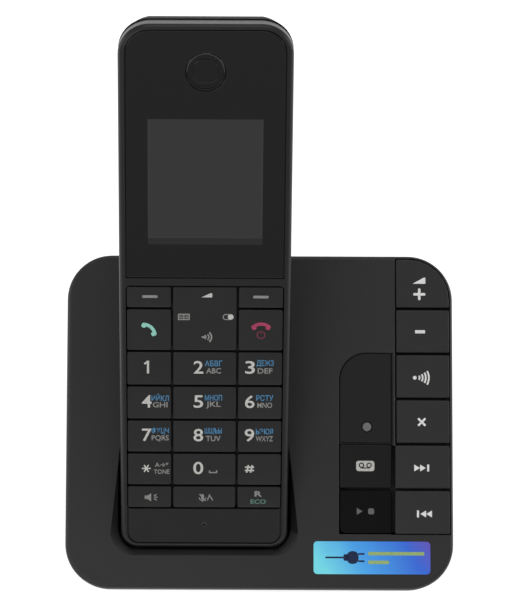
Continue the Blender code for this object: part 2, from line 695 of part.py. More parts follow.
def base_top(root, slope, frame, look):
    corners = (BASE_CORNER,) * 4
    shell = piece("base_top_housing", loft(
        cover_rect(), corners, levels(-COVER_DEPTH, 0, round_high=EDGE_ROUND, steps=2), 7), look, slope)
    inner = tuple(radius - COVER_WALL for radius in corners)
    hollow = loft(grown(cover_rect(), -COVER_WALL), inner, levels(-2 * COVER_DEPTH, -ROOF), 7)
    cut(shell, tool("cover_hollow_shape", hollow, slope))
    below = block(grown(cover_rect(), -COVER_WALL / 2), -0.09, -ROOF / 2)
    below = tool("below_roof", below, slope)
    liner = tool("pocket_liner", pocket_shape(LINER_WALL, 0.075), frame)
    trim(liner, below)
    join(shell, liner)
    bosses = disc(BOSS_RADIUS, POST_HEIGHT + TOUCH, 0.07)
    bosses = tool("case_bosses", at_screws(bosses), root)
    trim(bosses, below)
    join(shell, bosses)
    cut(shell, tool("pocket", pocket_shape(0.0, 0.080), frame))
    cut(shell, tool("pocket_edge", pocket_lip_shape(), slope))
    pilots = disc(SCREW_RADIUS + SCREW_PLAY / 2, 0, POST_HEIGHT + SCREW_LENGTH)
    cut(shell, tool("pilot_holes", at_screws(pilots), root))
    cut(shell, tool("contact_slots", cradle_contact(TOUCH), frame))
    base_openings(shell, slope)


def pocket_lip_shape():
    """A shallow scoop in front of the handset's foot that eases the pocket's front edge."""
    low = HANDSET_REST - (POCKET_GAP + POCKET_LIP)
    half = HALF_HANDSET + POCKET_GAP
    rect = (HANDSET_X - half, HANDSET_X + half, low, HANDSET_REST + 0.01)
    corner = BOTTOM_CORNER + POCKET_GAP
    return loft(rect, (corner, TINY, TINY, corner), levels(-POCKET_LIP, 0.002), 4)


def base_openings(shell, slope):
    low, high = COLUMN_LOW - KEY_PLAY / 2, COLUMN_TOP + KEY_PLAY
    column = (COLUMN_LEFT - KEY_PLAY, COLUMN_RIGHT + KEY_PLAY, low, high)
    corner = BASE_CORNER - COLUMN_BORDER + KEY_PLAY
    column_cut = loft(column, (TINY, corner, TINY, TINY), levels(BASE_KEY_LOW - MAT_DROP, 0.001), 7)
    keys = (STRIP_LEFT, STRIP_RIGHT, STRIP_LOW, STRIP_LOW + STRIP_KEYS)
    keys_cut = loft(keys, (TINY, TINY, TINY, 0.0022), levels(-0.004, -ROOF / 2), 4)
    lamp = disc(LAMP_RADIUS + TOUCH, -0.006, -ROOF / 2, COARSE)
    lamp = copies(lamp, [(lamp_x(), LAMP_HEIGHT, 0)])
    strip = (STRIP_LEFT, STRIP_RIGHT, STRIP_LOW, STRIP_LOW + STRIP_LENGTH)
    strip_cut = loft(strip, (TINY, TINY, STRIP_CORNER, 0.0022), levels(-STRIP_RECESS, 0.001), 6)
    cut(shell, tool("strip_recess", strip_cut, slope))
    cut(shell, tool("key_openings", gathered([column_cut, keys_cut, lamp]), slope))
    # between the strip's keys and the two skip keys there is no rib
    rib = (STRIP_RIGHT - TOUCH, COLUMN_LEFT + TOUCH, COLUMN_LOW - KEY_PLAY / 2, STRIP_LOW + STRIP_KEYS)
    cut(shell, tool("rib_gap", block(rib, -ROOF * 2, 0.001), slope))


def lamp_x():
    return (STRIP_LEFT + STRIP_RIGHT) / 2 + 0.0004


def case_column(inset, top):
    """The cover's outline run straight down from it."""
    return loft(grown(cover_rect(), -inset), (BASE_CORNER - inset,) * 4, levels(-0.09, top), 7)


def case_room(inset, wall):
    """The space above the floor and in front of the rear wall, with its two rear corners rounded."""
    side = HALF_BASE - inset - TINY / 2
    corner = REAR_CORNER - wall
    rect = (-side, side, -1, rear_wall_y() - wall)
    return loft(rect, (0, corner, corner, 0), levels(FEET_HEIGHT + wall, 1), 5)


def base_bottom(root, slope, look):
    rear = rear_wall_y()
    shell = piece("base_bottom_housing", case_column(LOWER_INSET, -COVER_DEPTH - TOUCH), look, slope)
    trim(shell, tool("case_limits", case_room(LOWER_INSET, 0), root))
    inside = LOWER_INSET + LOWER_WALL
    hollow = tool("case_hollow", case_column(inside, 0), slope)
    trim(hollow, tool("hollow_limits", case_room(inside, LOWER_WALL), root))
    cut(shell, hollow)
    posts = disc(BOSS_RADIUS + 0.0004, FEET_HEIGHT + 0.001, POST_HEIGHT)
    join(shell, tool("case_posts", at_screws(posts), root))
    drilled = turned([
        (0, -0.01), (SCREW_HEAD_RADIUS + SCREW_PLAY, -0.01),
        (SCREW_HEAD_RADIUS + SCREW_PLAY, case_screw_seat() + TOUCH),
        (SCREW_RADIUS + SCREW_PLAY, case_screw_seat() + TOUCH), (SCREW_RADIUS + SCREW_PLAY, 0.02), (0, 0.02),
    ], COARSE)
    drilled = at_screws(drilled)
    feet = disc(FOOT_RADIUS + TOUCH, 0, FOOT_THICKNESS + TOUCH, FINE)
    feet = copies(feet, [(x, y, 0) for x, y in foot_places().values()])
    x, y = speaker_place()
    slot = (-BASE_SLOT_HALF_LENGTH, BASE_SLOT_HALF_LENGTH, -BASE_SLOT_HALF_WIDTH, BASE_SLOT_HALF_WIDTH)
    slots = copies(plate(slot, BASE_SLOT_HALF_WIDTH * 0.9, -0.01, 0.01), [
        (x, y + step * BASE_SLOT_PITCH, 0) for step in range(-2, 3)
    ])
    sockets = [jack_hole(LINE_JACK_X, LINE_SOCKET[0], LINE_SOCKET[2], rear)]
    power = laid_along_y(disc(POWER_BORE_RADIUS + TOUCH, -rear - 0.01, -rear + LOWER_WALL * 2, FINE))
    sockets.append(copies(power, [(POWER_JACK_X, 0, JACK_HEIGHT)]))
    cut(shell, tool("case_cuts", gathered([drilled, feet, slots] + sockets), root))


def jack_hole(x, width, height, rear):
    rect = (x - width / 2 - TOUCH, x + width / 2 + TOUCH, rear - LOWER_WALL * 2, rear + 0.01)
    return block(rect, JACK_HEIGHT - height / 2 - TOUCH, JACK_HEIGHT + height / 2 + TOUCH)


def case_screw_seat():
    return POST_HEIGHT - 0.0012


def foot_places():
    side, front, back = HALF_BASE - 0.0150, 0.0180, rear_wall_y() - 0.0090
    return {
        "front_left": (-side, front), "front_right": (side, front),
        "rear_left": (-side, back), "rear_right": (side, back),
    }


def speaker_place():
    return ((STRIP_LEFT + STRIP_RIGHT) / 2, SLOPE_LENGTH / 2)


# ---- Base keys, window and insides ----

def base_key(slope, name, rect, radii, drop, look):
    x, y = (rect[0] + rect[1]) / 2, (rect[2] + rect[3]) / 2
    rect = (rect[0] - x, rect[1] - x, rect[2] - y, rect[3] - y)
    top = BASE_KEY_PROUD - drop
    rows = [(0, BASE_KEY_LOW), (0, top - 0.0003), (0.0001, top - 0.0001), (0.0003, top)]
    return piece(name, loft(rect, radii, rows, 5), look, slope, (x, y, 0))


def base_keys(slope, looks):
    names = ("skip_back_key", "skip_forward_key", "erase_key", "locator_key", "volume_down_key")
    radii = (0.0004,) * 4
    for index, name in enumerate(names):
        low = COLUMN_LOW + index * COLUMN_PITCH
        left = COLUMN_LEFT - (SKIP_KEY_EXTRA if name.startswith("skip") else 0)
        rect = (left, COLUMN_RIGHT, low + KEY_GAP / 2, low + COLUMN_PITCH - KEY_GAP / 2)
        base_key(slope, name, rect, radii, 0.0, looks["base_key"])
    corner = BASE_CORNER - COLUMN_BORDER
    rect = (COLUMN_LEFT, COLUMN_RIGHT, TOP_KEY_LOW + KEY_GAP / 2, COLUMN_TOP)
    base_key(slope, "volume_up_key", rect, (0.0004, corner, 0.0004, 0.0004), 0.0, looks["base_key"])
    left, right = STRIP_LEFT + KEY_PLAY, STRIP_RIGHT - KEY_PLAY
    play_top = STRIP_LOW + KEY_PLAY + PLAY_KEY_HEIGHT
    rect = (left, right, STRIP_LOW + KEY_PLAY, play_top)
    base_key(slope, "play_stop_key", rect, (0.0004, 0.0004, 0.0004, 0.0019), PLAY_KEY_DROP, looks["gloss"])
    rect = (left, right, play_top + KEY_GAP, STRIP_LOW + STRIP_KEYS - KEY_PLAY)
    base_key(slope, "answer_on_key", rect, radii, ANSWER_KEY_DROP, looks["gloss"])


def base_face(slope, looks):
    bottom, top = STRIP_LOW + STRIP_KEYS + TOUCH, STRIP_LOW + STRIP_LENGTH - TOUCH
    rect = (STRIP_LEFT + TOUCH, STRIP_RIGHT - TOUCH, bottom, top)
    low = -WINDOW_DROP - WINDOW_THICKNESS
    shape = loft(rect, (TINY, TINY, STRIP_CORNER - TOUCH, TINY), levels(low, -WINDOW_DROP), 6)
    window = piece("indicator_window", shape, looks["gloss"], slope)
    hole = copies(disc(LAMP_RADIUS + TOUCH, -0.01, 0.01, COARSE), [(lamp_x(), LAMP_HEIGHT, 0)])
    cut(window, tool("lamp_hole", hole, slope))
    pipe = disc(LAMP_RADIUS, BASE_BOARD_TOP + TOUCH, -WINDOW_DROP, COARSE)
    piece("indicator_light_pipe", pipe, looks["lamp"], slope, (lamp_x(), LAMP_HEIGHT, 0))


def base_insides(root, slope, frame, looks):
    right = HALF_BASE - COVER_WALL - TOUCH
    bend = BASE_CORNER - COVER_WALL
    shoulder = SLOPE_LENGTH - BASE_CORNER
    low = STRIP_LOW + KEY_GAP
    outline = [
        (STRIP_LEFT, low), (right, low), (right, shoulder), (right - bend * 0.35, shoulder + bend * 0.6),
        (COLUMN_LEFT, shoulder + bend * 0.6), (COLUMN_LEFT, STRIP_LOW + STRIP_KEYS),
        (STRIP_LEFT, STRIP_LOW + STRIP_KEYS),
    ]
    mat = outline_plate(outline, MAT_TOP - MAT_THICKNESS, MAT_TOP)
    piece("base_key_mat", mat, looks["silicone"], slope)
    liner_right = HANDSET_X + HALF_HANDSET + POCKET_GAP + LINER_WALL
    board = (liner_right + 0.0015, right - LOWER_INSET - LOWER_WALL, low, screw_slope_low() - 0.001)
    board = plate(board, 0.001, BASE_BOARD_TOP - BASE_BOARD_THICKNESS, BASE_BOARD_TOP)
    piece("base_circuit_board", board, looks["board"], slope)
    x, y = speaker_place()
    place = (x, y, FEET_HEIGHT + LOWER_WALL + TOUCH + BASE_SPEAKER_HEIGHT)
    cone = speaker(root, "base_speaker", looks["steel"], BASE_SPEAKER_RADIUS, place, BASE_SPEAKER_HEIGHT)
    cone.rotation_euler = (math.pi, 0, 0)
    half, under = CONTACT_SPACING / 2 + 0.0012, -POCKET_GAP - LINER_WALL - 0.0009
    centre = (contact_low() + contact_high()) / 2
    carrier = block((-half, half, under - CONTACT_CARRIER, under), centre - 0.0012, centre + 0.0012)
    carrier = piece("cradle_contacts", carrier, looks["gold"], frame)
    join(carrier, tool("contact_tongues", cradle_contact(0.0), frame))
    for side, (x, y) in screw_places().items():
        piece(f"base_screw_{side}", screw(SCREW_LENGTH), looks["screw"], root, (x, y, case_screw_seat()))
    for corner, (x, y) in foot_places().items():
        foot = turned([
            (0, 0), (FOOT_RADIUS - 0.0005, 0), (FOOT_RADIUS, 0.0005), (FOOT_RADIUS, FOOT_THICKNESS),
            (0, FOOT_THICKNESS),
        ], FINE)
        piece(f"rubber_foot_{corner}", foot, looks["rubber"], root, (x, y, 0))


def screw_slope_low():
    """How far up the slope the rear screw boss reaches down to, at the circuit board's level."""
    x, y = screw_places()["right"]
    cos, sin = math.cos(SLOPE_ANGLE), math.sin(SLOPE_ANGLE)
    return (y - BOSS_RADIUS + (BASE_BOARD_TOP - BASE_BOARD_THICKNESS) * sin) / cos


def cradle_contact(by):
    """Two sprung tongues that rise through the pocket's floor under the handset's contacts."""
    centre = (contact_low() + contact_high()) / 2
    half = TONGUE_HALF_WIDTH
    rect = (-half, half, -POCKET_GAP - LINER_WALL - 0.0012, -0.0002)
    tongue = block(grown(rect, by), centre - half - by, centre + half + by)
    return copies(tongue, [(side * CONTACT_SPACING / 2, 0, 0) for side in (-1, 1)])


def jacks(root, looks):
    front = rear_wall_y() - LOWER_WALL - TOUCH
    width, depth, height = LINE_JACK
    rect = (-width / 2, width / 2, front - depth, front)
    body = block(rect, JACK_HEIGHT - height / 2, JACK_HEIGHT + height / 2)
    line = piece("line_jack", body, looks["socket"], root, (LINE_JACK_X, 0, 0))
    wide, deep, high = LINE_SOCKET
    rect = (-wide / 2, wide / 2, front - deep, front + 0.001)
    cavity = block(rect, JACK_HEIGHT - high / 2, JACK_HEIGHT + high / 2)
    cut(line, tool("line_socket", cavity, root, (LINE_JACK_X, 0, 0)))
    width, depth, height = POWER_JACK
    rect = (-width / 2, width / 2, front - depth, front)
    body = block(rect, JACK_HEIGHT - height / 2, JACK_HEIGHT + height / 2)
    power = piece("power_jack", body, looks["socket"], root, (POWER_JACK_X, 0, 0))
    pin, bore, end = POWER_PIN_RADIUS, POWER_BORE_RADIUS, -front + depth - 0.002
    ring = [(0, -front - 0.001), (bore, -front - 0.001), (bore, end), (pin, end), (pin, -front + 0.001),
            (0, -front + 0.001)]
    cut(power, tool("power_socket", laid_along_y(turned(ring, 20)), root, (POWER_JACK_X, 0, JACK_HEIGHT)))


# ---- Assembly ----

def all_looks():
    return {
        "base": material("base_plastic", (0.030, 0.030, 0.031), 0.45),
        "lower": material("lower_case_plastic", (0.022, 0.022, 0.023), 0.55),
        "front": material("handset_front_plastic", (0.020, 0.020, 0.021), 0.30),
        "rear": material("handset_rear_plastic", (0.035, 0.035, 0.036), 0.50),
        "gloss": material("gloss_black", (0.012, 0.012, 0.013), 0.08),
        "satin": material("earpiece_plastic", (0.016, 0.016, 0.017), 0.25),
        "screen": material("screen_grey", (0.045, 0.045, 0.047), 0.20),
        "key": material("handset_key_plastic", (0.024, 0.024, 0.025), 0.35),
        "base_key": material("base_key_plastic", (0.034, 0.034, 0.035), 0.42),
        "silicone": material("silicone_grey", (0.050, 0.050, 0.052), 0.80),
        "board": material("circuit_board_green", (0.020, 0.090, 0.035), 0.50),
        "cell": material("cell_sleeve", (0.050, 0.160, 0.080), 0.35),
        "steel": material("plated_steel", (0.550, 0.550, 0.560), 0.35, 1.0),
        "screw": material("black_screw", (0.060, 0.060, 0.062), 0.40, 1.0),
        "gold": material("contact_plating", (0.750, 0.620, 0.350), 0.25, 1.0),
        "socket": material("socket_plastic", (0.028, 0.028, 0.029), 0.50),
        "rubber": material("foot_rubber", (0.040, 0.040, 0.041), 0.85),
        "lamp": material("lamp_grey", (0.250, 0.250, 0.250), 0.30),
    }


def stand_on_origin(root):
    """Moves the whole phone so that the bottom centre of its bounding box is the origin."""
    bpy.context.view_layer.update()
    graph = bpy.context.evaluated_depsgraph_get()
    corners = []
    for item in bpy.context.scene.objects:
        if item.type == "MESH" and not item.hide_render:
            shown = item.evaluated_get(graph)
            corners += [shown.matrix_world @ corner.co for corner in shown.to_mesh().vertices]
            shown.to_mesh_clear()
    low = Vector([min(corner[axis] for corner in corners) for axis in range(3)])
    high = Vector([max(corner[axis] for corner in corners) for axis in range(3)])
    root.location = -Vector(((low.x + high.x) / 2, (low.y + high.y) / 2, low.z))


def main():
    for item in list(bpy.data.objects):
        bpy.data.objects.remove(item)
    looks = all_looks()
    root = empty("phone")
    slope = empty("slope_frame", root, slope_point(0, 0, 0), SLOPE_ANGLE)
    frame = empty("handset_frame", root, slope_point(HANDSET_X, HANDSET_REST, 0), HANDSET_LEAN)
    base_top(root, slope, frame, looks["base"])
    base_bottom(root, slope, looks["lower"])
    base_keys(slope, looks)
    base_face(slope, looks)
    base_insides(root, slope, frame, looks)
    jacks(root, looks)
    handset_front(frame, looks["front"])
    handset_rear(frame, looks["rear"])
    handset_panel(frame, looks)
    keypad(frame, looks)
    handset_insides(frame, looks)
    stand_on_origin(root)


main()
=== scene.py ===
import json
import math

import bmesh
import bpy
from mathutils import Matrix, Vector


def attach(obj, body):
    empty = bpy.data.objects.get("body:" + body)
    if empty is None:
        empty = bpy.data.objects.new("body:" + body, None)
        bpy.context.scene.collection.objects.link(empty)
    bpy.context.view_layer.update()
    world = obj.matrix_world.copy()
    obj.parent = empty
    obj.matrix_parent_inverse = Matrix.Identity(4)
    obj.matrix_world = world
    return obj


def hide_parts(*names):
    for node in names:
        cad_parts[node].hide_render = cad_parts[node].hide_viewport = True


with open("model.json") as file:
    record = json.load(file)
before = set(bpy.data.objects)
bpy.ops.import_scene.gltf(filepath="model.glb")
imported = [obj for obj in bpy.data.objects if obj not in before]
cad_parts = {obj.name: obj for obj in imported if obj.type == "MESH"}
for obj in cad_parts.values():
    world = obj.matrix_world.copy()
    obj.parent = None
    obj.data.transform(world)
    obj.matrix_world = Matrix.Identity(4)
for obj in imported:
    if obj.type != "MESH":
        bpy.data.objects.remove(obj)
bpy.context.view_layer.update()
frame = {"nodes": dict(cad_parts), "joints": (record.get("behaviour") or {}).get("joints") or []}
scene = bpy.context.scene
nodes = frame["nodes"]
joints = {joint["name"]: joint for joint in frame["joints"]}
print("stage: frame loaded")

# Every piece is drawn in millimetres in one of two working frames: X across, Y up along the handset or
# the sloping face, Z straight out of it. Each frame's matrix turns that into the model's own metres.
placing = {
    "pivotUp": 71.495,  # the four-way key's pivot, up the handset
    "pivotIn": 2.3,  # and behind its face
    "handsetRest": 11.69,  # where the handset's face meets the slope, up the slope
    "metre": 0.001,
}


def workingFrame(up, origin):
    across = Vector((1, 0, 0))
    turn = Matrix((across, up, across.cross(up))).transposed().to_4x4()
    return Matrix.Translation(origin) @ turn @ Matrix.Scale(placing["metre"], 4)


handsetUp = Vector(joints["handset_lift"]["axis"]).normalized()
handsetIn = Vector(joints["talk_key_press"]["axis"]).normalized()
slopeIn = Vector(joints["volume_up_key_press"]["axis"]).normalized()
slopeUp = Vector((1, 0, 0)).cross(slopeIn)
pivot = Vector(joints["navigator_up_down"]["pos_m"])
mm = placing["metre"]
nearly = 0.01  # how close counts as on a face, in millimetres
handsetFoot = pivot - handsetUp * placing["pivotUp"] * mm - handsetIn * placing["pivotIn"] * mm
slopeFoot = handsetFoot - slopeUp * placing["handsetRest"] * mm
slopeFoot.x = 0
handsetPlace = workingFrame(handsetUp, handsetFoot)
slopePlace = workingFrame(slopeUp, slopeFoot)
basePlace = Matrix.Scale(mm, 4)


def localBox(place, *names):
    # lowest and highest corners of CAD nodes in a working frame
    back = place.inverted()
    points = [back @ corner.co for name in names for corner in nodes[name].data.vertices]
    low = Vector([min(point[axis] for point in points) for axis in range(3)])
    high = Vector([max(point[axis] for point in points) for axis in range(3)])
    return low, high


# modelling


def slab(low, high, corners=0.0, steps=8):
    # a block whose upright corners are rounded: one radius, or one for each (side, end)
    shape = bmesh.new()
    bmesh.ops.create_cube(shape, size=1.0)
    low, high = Vector(low), Vector(high)
    bmesh.ops.scale(shape, vec=high - low, verts=shape.verts)
    bmesh.ops.translate(shape, vec=(low + high) / 2, verts=shape.verts)
    if not isinstance(corners, dict):
        corners = {(side, end): corners for side in (-1, 1) for end in (-1, 1)}
    middle = (low + high) / 2
    for (side, end), radius in corners.items():
        if radius:
            upright = [edge for edge in shape.edges if isUpright(edge, middle, side, end)]
            roundEdges(shape, upright, radius, steps)
    return shape


def fourCorners(footLeft, footRight, topLeft, topRight):
    return {(-1, -1): footLeft, (1, -1): footRight, (-1, 1): topLeft, (1, 1): topRight}


def bothEnds(foot, top):
    return {(-1, -1): foot, (1, -1): foot, (1, 1): top, (-1, 1): top}


def around(low, high, play, floor, top, corners=0.0, steps=8):
    # a block that reaches past a box by the play on every side, from floor to top
    return slab((low.x - play, low.y - play, floor), (high.x + play, high.y + play, top), corners, steps)


def isUpright(edge, middle, side, end):
    first, second = edge.verts
    along = abs(first.co.z - second.co.z) > 1e-4 and (first.co.xy - second.co.xy).length < 1e-4
    return along and (first.co.x - middle.x) * side > 0 and (first.co.y - middle.y) * end > 0


def roundEdges(shape, edges, radius, steps=4):
    bmesh.ops.bevel(
        shape, geom=edges, offset=radius, offset_type="OFFSET", affect="EDGES", segments=steps,
        profile=0.5, material=-1, clamp_overlap=True,
    )


def edgesWhere(shape, test, sharper=25):
    # sharp edges whose two ends both pass the test
    shape.normal_update()
    limit = math.radians(sharper)
    return [
        edge for edge in shape.edges
        if edge.is_manifold and edge.calc_face_angle() > limit and all(test(end.co) for end in edge.verts)
    ]


def roundTop(shape, level, radius, steps=4):
    roundEdges(shape, edgesWhere(shape, lambda spot: spot.z > level - nearly), radius, steps)


def roundBack(shape, level, radius, steps=4):
    roundEdges(shape, edgesWhere(shape, lambda spot: spot.z < level + nearly), radius, steps)


def cutAcross(shape, spot, normal):
    everything = shape.verts[:] + shape.edges[:] + shape.faces[:]
    bmesh.ops.bisect_plane(shape, geom=everything, plane_co=spot, plane_no=normal)


def carve(shape, cutter, operation="DIFFERENCE"):
    holders = []
    for part in (shape, cutter):
        bmesh.ops.recalc_face_normals(part, faces=part.faces)
        mesh = bpy.data.meshes.new("carving")
        part.to_mesh(mesh)
        part.free()
        holder = bpy.data.objects.new("carving", mesh)
        scene.collection.objects.link(holder)
        holders.append(holder)
    step = holders[0].modifiers.new("carve", "BOOLEAN")
    step.operation = operation
    step.solver = "EXACT"
    step.object = holders[1]
    carved = evaluatedShape(holders[0])
    for holder in holders:
        mesh = holder.data
        bpy.data.objects.remove(holder)
        bpy.data.meshes.remove(mesh)
    bmesh.ops.dissolve_degenerate(carved, dist=1e-4, edges=carved.edges)
    return carved


def evaluatedShape(holder):
    bpy.context.view_layer.update()
    shown = holder.evaluated_get(bpy.context.evaluated_depsgraph_get())
    shape = bmesh.new()
    shape.from_mesh(shown.to_mesh())
    shown.to_mesh_clear()
    return shape


def moved(shape, matrix):
    bmesh.ops.transform(shape, matrix=matrix, verts=shape.verts)
    return shape


def shifted(shape, x, y, z=0.0):
    bmesh.ops.translate(shape, vec=(x, y, z), verts=shape.verts)
    return shape


def spun(shape, degrees):
    return moved(shape, Matrix.Rotation(math.radians(degrees), 4, "Z"))


def gathered(shapes):
    whole = bmesh.new()
    for shape in shapes:
        mesh = bpy.data.meshes.new("gathering")
        shape.to_mesh(mesh)
        shape.free()
        whole.from_mesh(mesh)
        bpy.data.meshes.remove(mesh)
    return whole


def turned(profile, steps=48):
    # a solid of revolution about Z, from (radius, height) pairs that start and end on the axis
    shape = bmesh.new()
    points = [shape.verts.new((radius, 0, height)) for radius, height in profile]
    edges = [shape.edges.new(pair) for pair in zip(points, points[1:])]
    bmesh.ops.spin(
        shape, geom=points + edges, axis=(0, 0, 1), cent=(0, 0, 0), angle=2 * math.pi, steps=steps,
        use_merge=True,
    )
    bmesh.ops.remove_doubles(shape, verts=shape.verts, dist=1e-5)
    return shape


def rod(radius, low, high, steps=32):
    shape = bmesh.new()
    bmesh.ops.create_cone(
        shape, cap_ends=True, segments=steps, radius1=radius, radius2=radius, depth=high - low)
    return shifted(shape, 0, 0, (low + high) / 2)


def settle(name, shape, place, body, look, replaced=(), sharp=32):
    moved(shape, place)
    bmesh.ops.remove_doubles(shape, verts=shape.verts, dist=2e-8)
    bmesh.ops.recalc_face_normals(shape, faces=shape.faces)
    mesh = bpy.data.meshes.new(name)
    shape.to_mesh(mesh)
    shape.free()
    mesh.shade_smooth()
    mesh.set_sharp_from_angle(angle=math.radians(sharp))
    made = bpy.data.objects.new(name, mesh)
    scene.collection.objects.link(made)
    mesh.materials.append(look)
    even = made.modifiers.new("evenNormals", "WEIGHTED_NORMAL")
    even.keep_sharp = True
    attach(made, body)
    if replaced:
        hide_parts(*replaced)


# materials


class Channel:
    # a shader value that takes part in Python sums
    def __init__(self, look, socket):
        self.look = look
        self.socket = socket

    def __add__(self, other):
        return self.look.sum("ADD", self, other)

    def __radd__(self, other):
        return self.look.sum("ADD", other, self)

    def __sub__(self, other):
        return self.look.sum("SUBTRACT", self, other)

    def __rsub__(self, other):
        return self.look.sum("SUBTRACT", other, self)

    def __mul__(self, other):
        return self.look.sum("MULTIPLY", self, other)

    def __rmul__(self, other):
        return self.look.sum("MULTIPLY", other, self)


class Look:
    def __init__(self, name, settings, place=basePlace):
        self.material = bpy.data.materials.new(name)
        self.material.use_nodes = True
        self.tree = self.material.node_tree
        self.shader = self.tree.nodes["Principled BSDF"]
        for socket, value in settings.items():
            self.shader.inputs[socket].default_value = value
        # object coordinates in millimetres, in the piece's own working frame
        back = place.inverted()
        coordinates = self.node("ShaderNodeTexCoord", {}, {})
        self.spot = Channel(self, self.node("ShaderNodeMapping", {"vector_type": "POINT"}, {
            "Vector": Channel(self, coordinates.outputs["Object"]),
            "Location": back.to_translation(),
            "Rotation": back.to_euler(),
            "Scale": back.to_scale(),
        }).outputs[0])

    def node(self, kind, settings, inputs):
        made = self.tree.nodes.new(kind)
        for name, value in settings.items():
            if name == "stops":
                ramp = made.color_ramp.elements
                while len(ramp) < len(value):
                    ramp.new(0.5)
                for stop, (position, colour) in zip(ramp, value):
                    stop.position = position
                    stop.color = colour
            else:
                setattr(made, name, value)
        for name, value in inputs.items():
            if isinstance(value, Channel):
                self.tree.links.new(value.socket, made.inputs[name])
            else:
                made.inputs[name].default_value = value
        return made

    def sum(self, operation, first, second):
        made = self.node("ShaderNodeMath", {"operation": operation}, {0: first, 1: second})
        return Channel(self, made.outputs[0])

    def noise(self, scale, detail=2.0, roughness=0.5, spot=None):
        made = self.node("ShaderNodeTexNoise", {}, {
            "Vector": spot or self.spot, "Scale": scale, "Detail": detail, "Roughness": roughness,
        })
        return Channel(self, made.outputs[0])

    def cells(self, scale, feature="F1"):
        made = self.node("ShaderNodeTexVoronoi", {"feature": feature}, {"Vector": self.spot, "Scale": scale})
        return Channel(self, made.outputs[0])

    def axes(self):
        made = self.node("ShaderNodeSeparateXYZ", {}, {0: self.spot})
        return [Channel(self, output) for output in made.outputs]

    def stretched(self, scale):
        made = self.node("ShaderNodeVectorMath", {"operation": "MULTIPLY"}, {0: self.spot, 1: scale})
        return Channel(self, made.outputs[0])

    def step(self, value, low, high):
        # 0 below low and 1 above high, with a soft start and end
        made = self.node("ShaderNodeMapRange", {"interpolation_type": "SMOOTHSTEP"}, {
            "Value": value, "From Min": low, "From Max": high,
        })
        return Channel(self, made.outputs[0])

    def within(self, value, low, high, soft):
        return self.step(value, low - soft, low + soft) * (1 - self.step(value, high - soft, high + soft))

    def mixed(self, factor, first, second):
        made = self.node("ShaderNodeMix", {"data_type": "RGBA"}, {0: factor, 6: first, 7: second})
        return Channel(self, made.outputs[2])

    def ramp(self, value, stops):
        made = self.node("ShaderNodeValToRGB", {"stops": stops}, {0: value})
        return Channel(self, made.outputs[0])

    def feed(self, socket, value):
        self.tree.links.new(value.socket, self.shader.inputs[socket])

    def finish(self, colour, rough, height=None, depth=0.0):
        # depth is the relief's, in millimetres
        self.feed("Base Color", colour)
        self.feed("Roughness", rough)
        if height:
            inputs = {"Height": height, "Distance": depth * mm, "Strength": 1.0}
            self.feed("Normal", Channel(self, self.node("ShaderNodeBump", {}, inputs).outputs[0]))
        return self.material


def grey(level, warm=0.0):
    return (level * (1 + warm), level, level * (1 - warm), 1.0)


def texturedPlastic(name, place, tone, rough, grain, depth, shine=0.5, warm=0.01):
    # spark-eroded mould texture, a faint cloudiness and a few paler specks of dust
    look = Look(name, {"Specular IOR Level": shine}, place)
    fine = look.noise(1 / grain, 3.0, 0.6)
    pits = look.cells(0.6 / grain)
    cloud = look.noise(0.035, 3.0, 0.55)
    dust = 1 - look.step(look.cells(0.9), 0.018, 0.05)
    colour = look.mixed(cloud, grey(tone * 0.8, warm), grey(tone * 1.2, warm))
    colour = look.mixed(fine * 0.35, colour, grey(tone * 1.7, warm))
    colour = look.mixed(dust * 0.25, colour, grey(tone * 4))
    return look.finish(colour, rough - 0.04 + fine * 0.06 + cloud * 0.05, fine * 0.6 + pits * 0.6, depth)


def satinPlastic(name, place, tone, rough, shine=0.5, streaks=0.0):
    look = Look(name, {"Specular IOR Level": shine}, place)
    fine = look.noise(5.0, 2.0)
    cloud = look.noise(0.08, 3.0, 0.6)
    smear = look.noise(0.6, 4.0, 0.65, look.stretched((1.0, 0.25, 1.0)))
    colour = look.mixed(cloud, grey(tone * 0.85), grey(tone * 1.15))
    colour = look.mixed(fine * 0.25, colour, grey(tone * 1.6))
    return look.finish(colour, rough - 0.04 + smear * (0.08 + streaks) + fine * 0.03, fine, 0.004)


# band is the tone of a painted reflection below the screen; edge is the width of a painted highlight along
# the screen's sides and foot
screenFace = {
    "half": 15.85, "low": 95.7, "high": 130.3, "bandLow": 93.8, "edge": 0.4,
    "panel": 0.0028, "glow": 0.0325, "band": 0.017, "rough": 0.09,
}


def panelGlass():
    # smoked glass with the unlit screen behind it, a painted reflection in a band below the screen and a
    # painted highlight along the screen's sides and foot
    look = Look("smokedGlass", {"Specular IOR Level": 0.42, "Coat Roughness": 0.03}, handsetPlace)
    x, y, _ = look.axes()
    across = look.within(x, -screenFace["half"], screenFace["half"], 0.08)
    screen = across * look.within(y, screenFace["low"], screenFace["high"], 0.08)
    band = across * look.within(y, screenFace["bandLow"], screenFace["low"], 0.08)
    rows = look.noise(7.0, 1.0, 0.5, look.stretched((0.15, 1.0, 1.0)))
    tint = look.mixed(rows, grey(screenFace["glow"] * 0.93), grey(screenFace["glow"] * 1.05))
    colour = look.mixed(screen, grey(screenFace["panel"]), tint)
    # painted reflection: a mid-grey band below the screen stands in for the lit lower wall of the screen's
    # recess
    colour = look.mixed(band, colour, grey(screenFace["band"]))
    # painted highlight: the screen's sides and foot are made paler where its recess edges would catch the
    # light
    inside = screenFace["half"] - screenFace["edge"]
    foot = screenFace["low"]
    inner = look.within(x, -inside, inside, 0.1) * look.step(y, foot + 0.3, foot + 0.6)
    colour = look.mixed(screen * (1 - inner) * 0.5, colour, grey(screenFace["glow"] * 1.35))
    dust = 1 - look.step(look.cells(0.55), 0.012, 0.03)
    colour = look.mixed(dust * 0.3, colour, grey(0.12))
    smear = look.noise(0.18, 5.0, 0.6)
    look.feed("Coat Weight", 0.25 - screen * 0.15)
    return look.finish(colour, screenFace["rough"] + smear * 0.06 + screen * 0.10 + dust * 0.3)


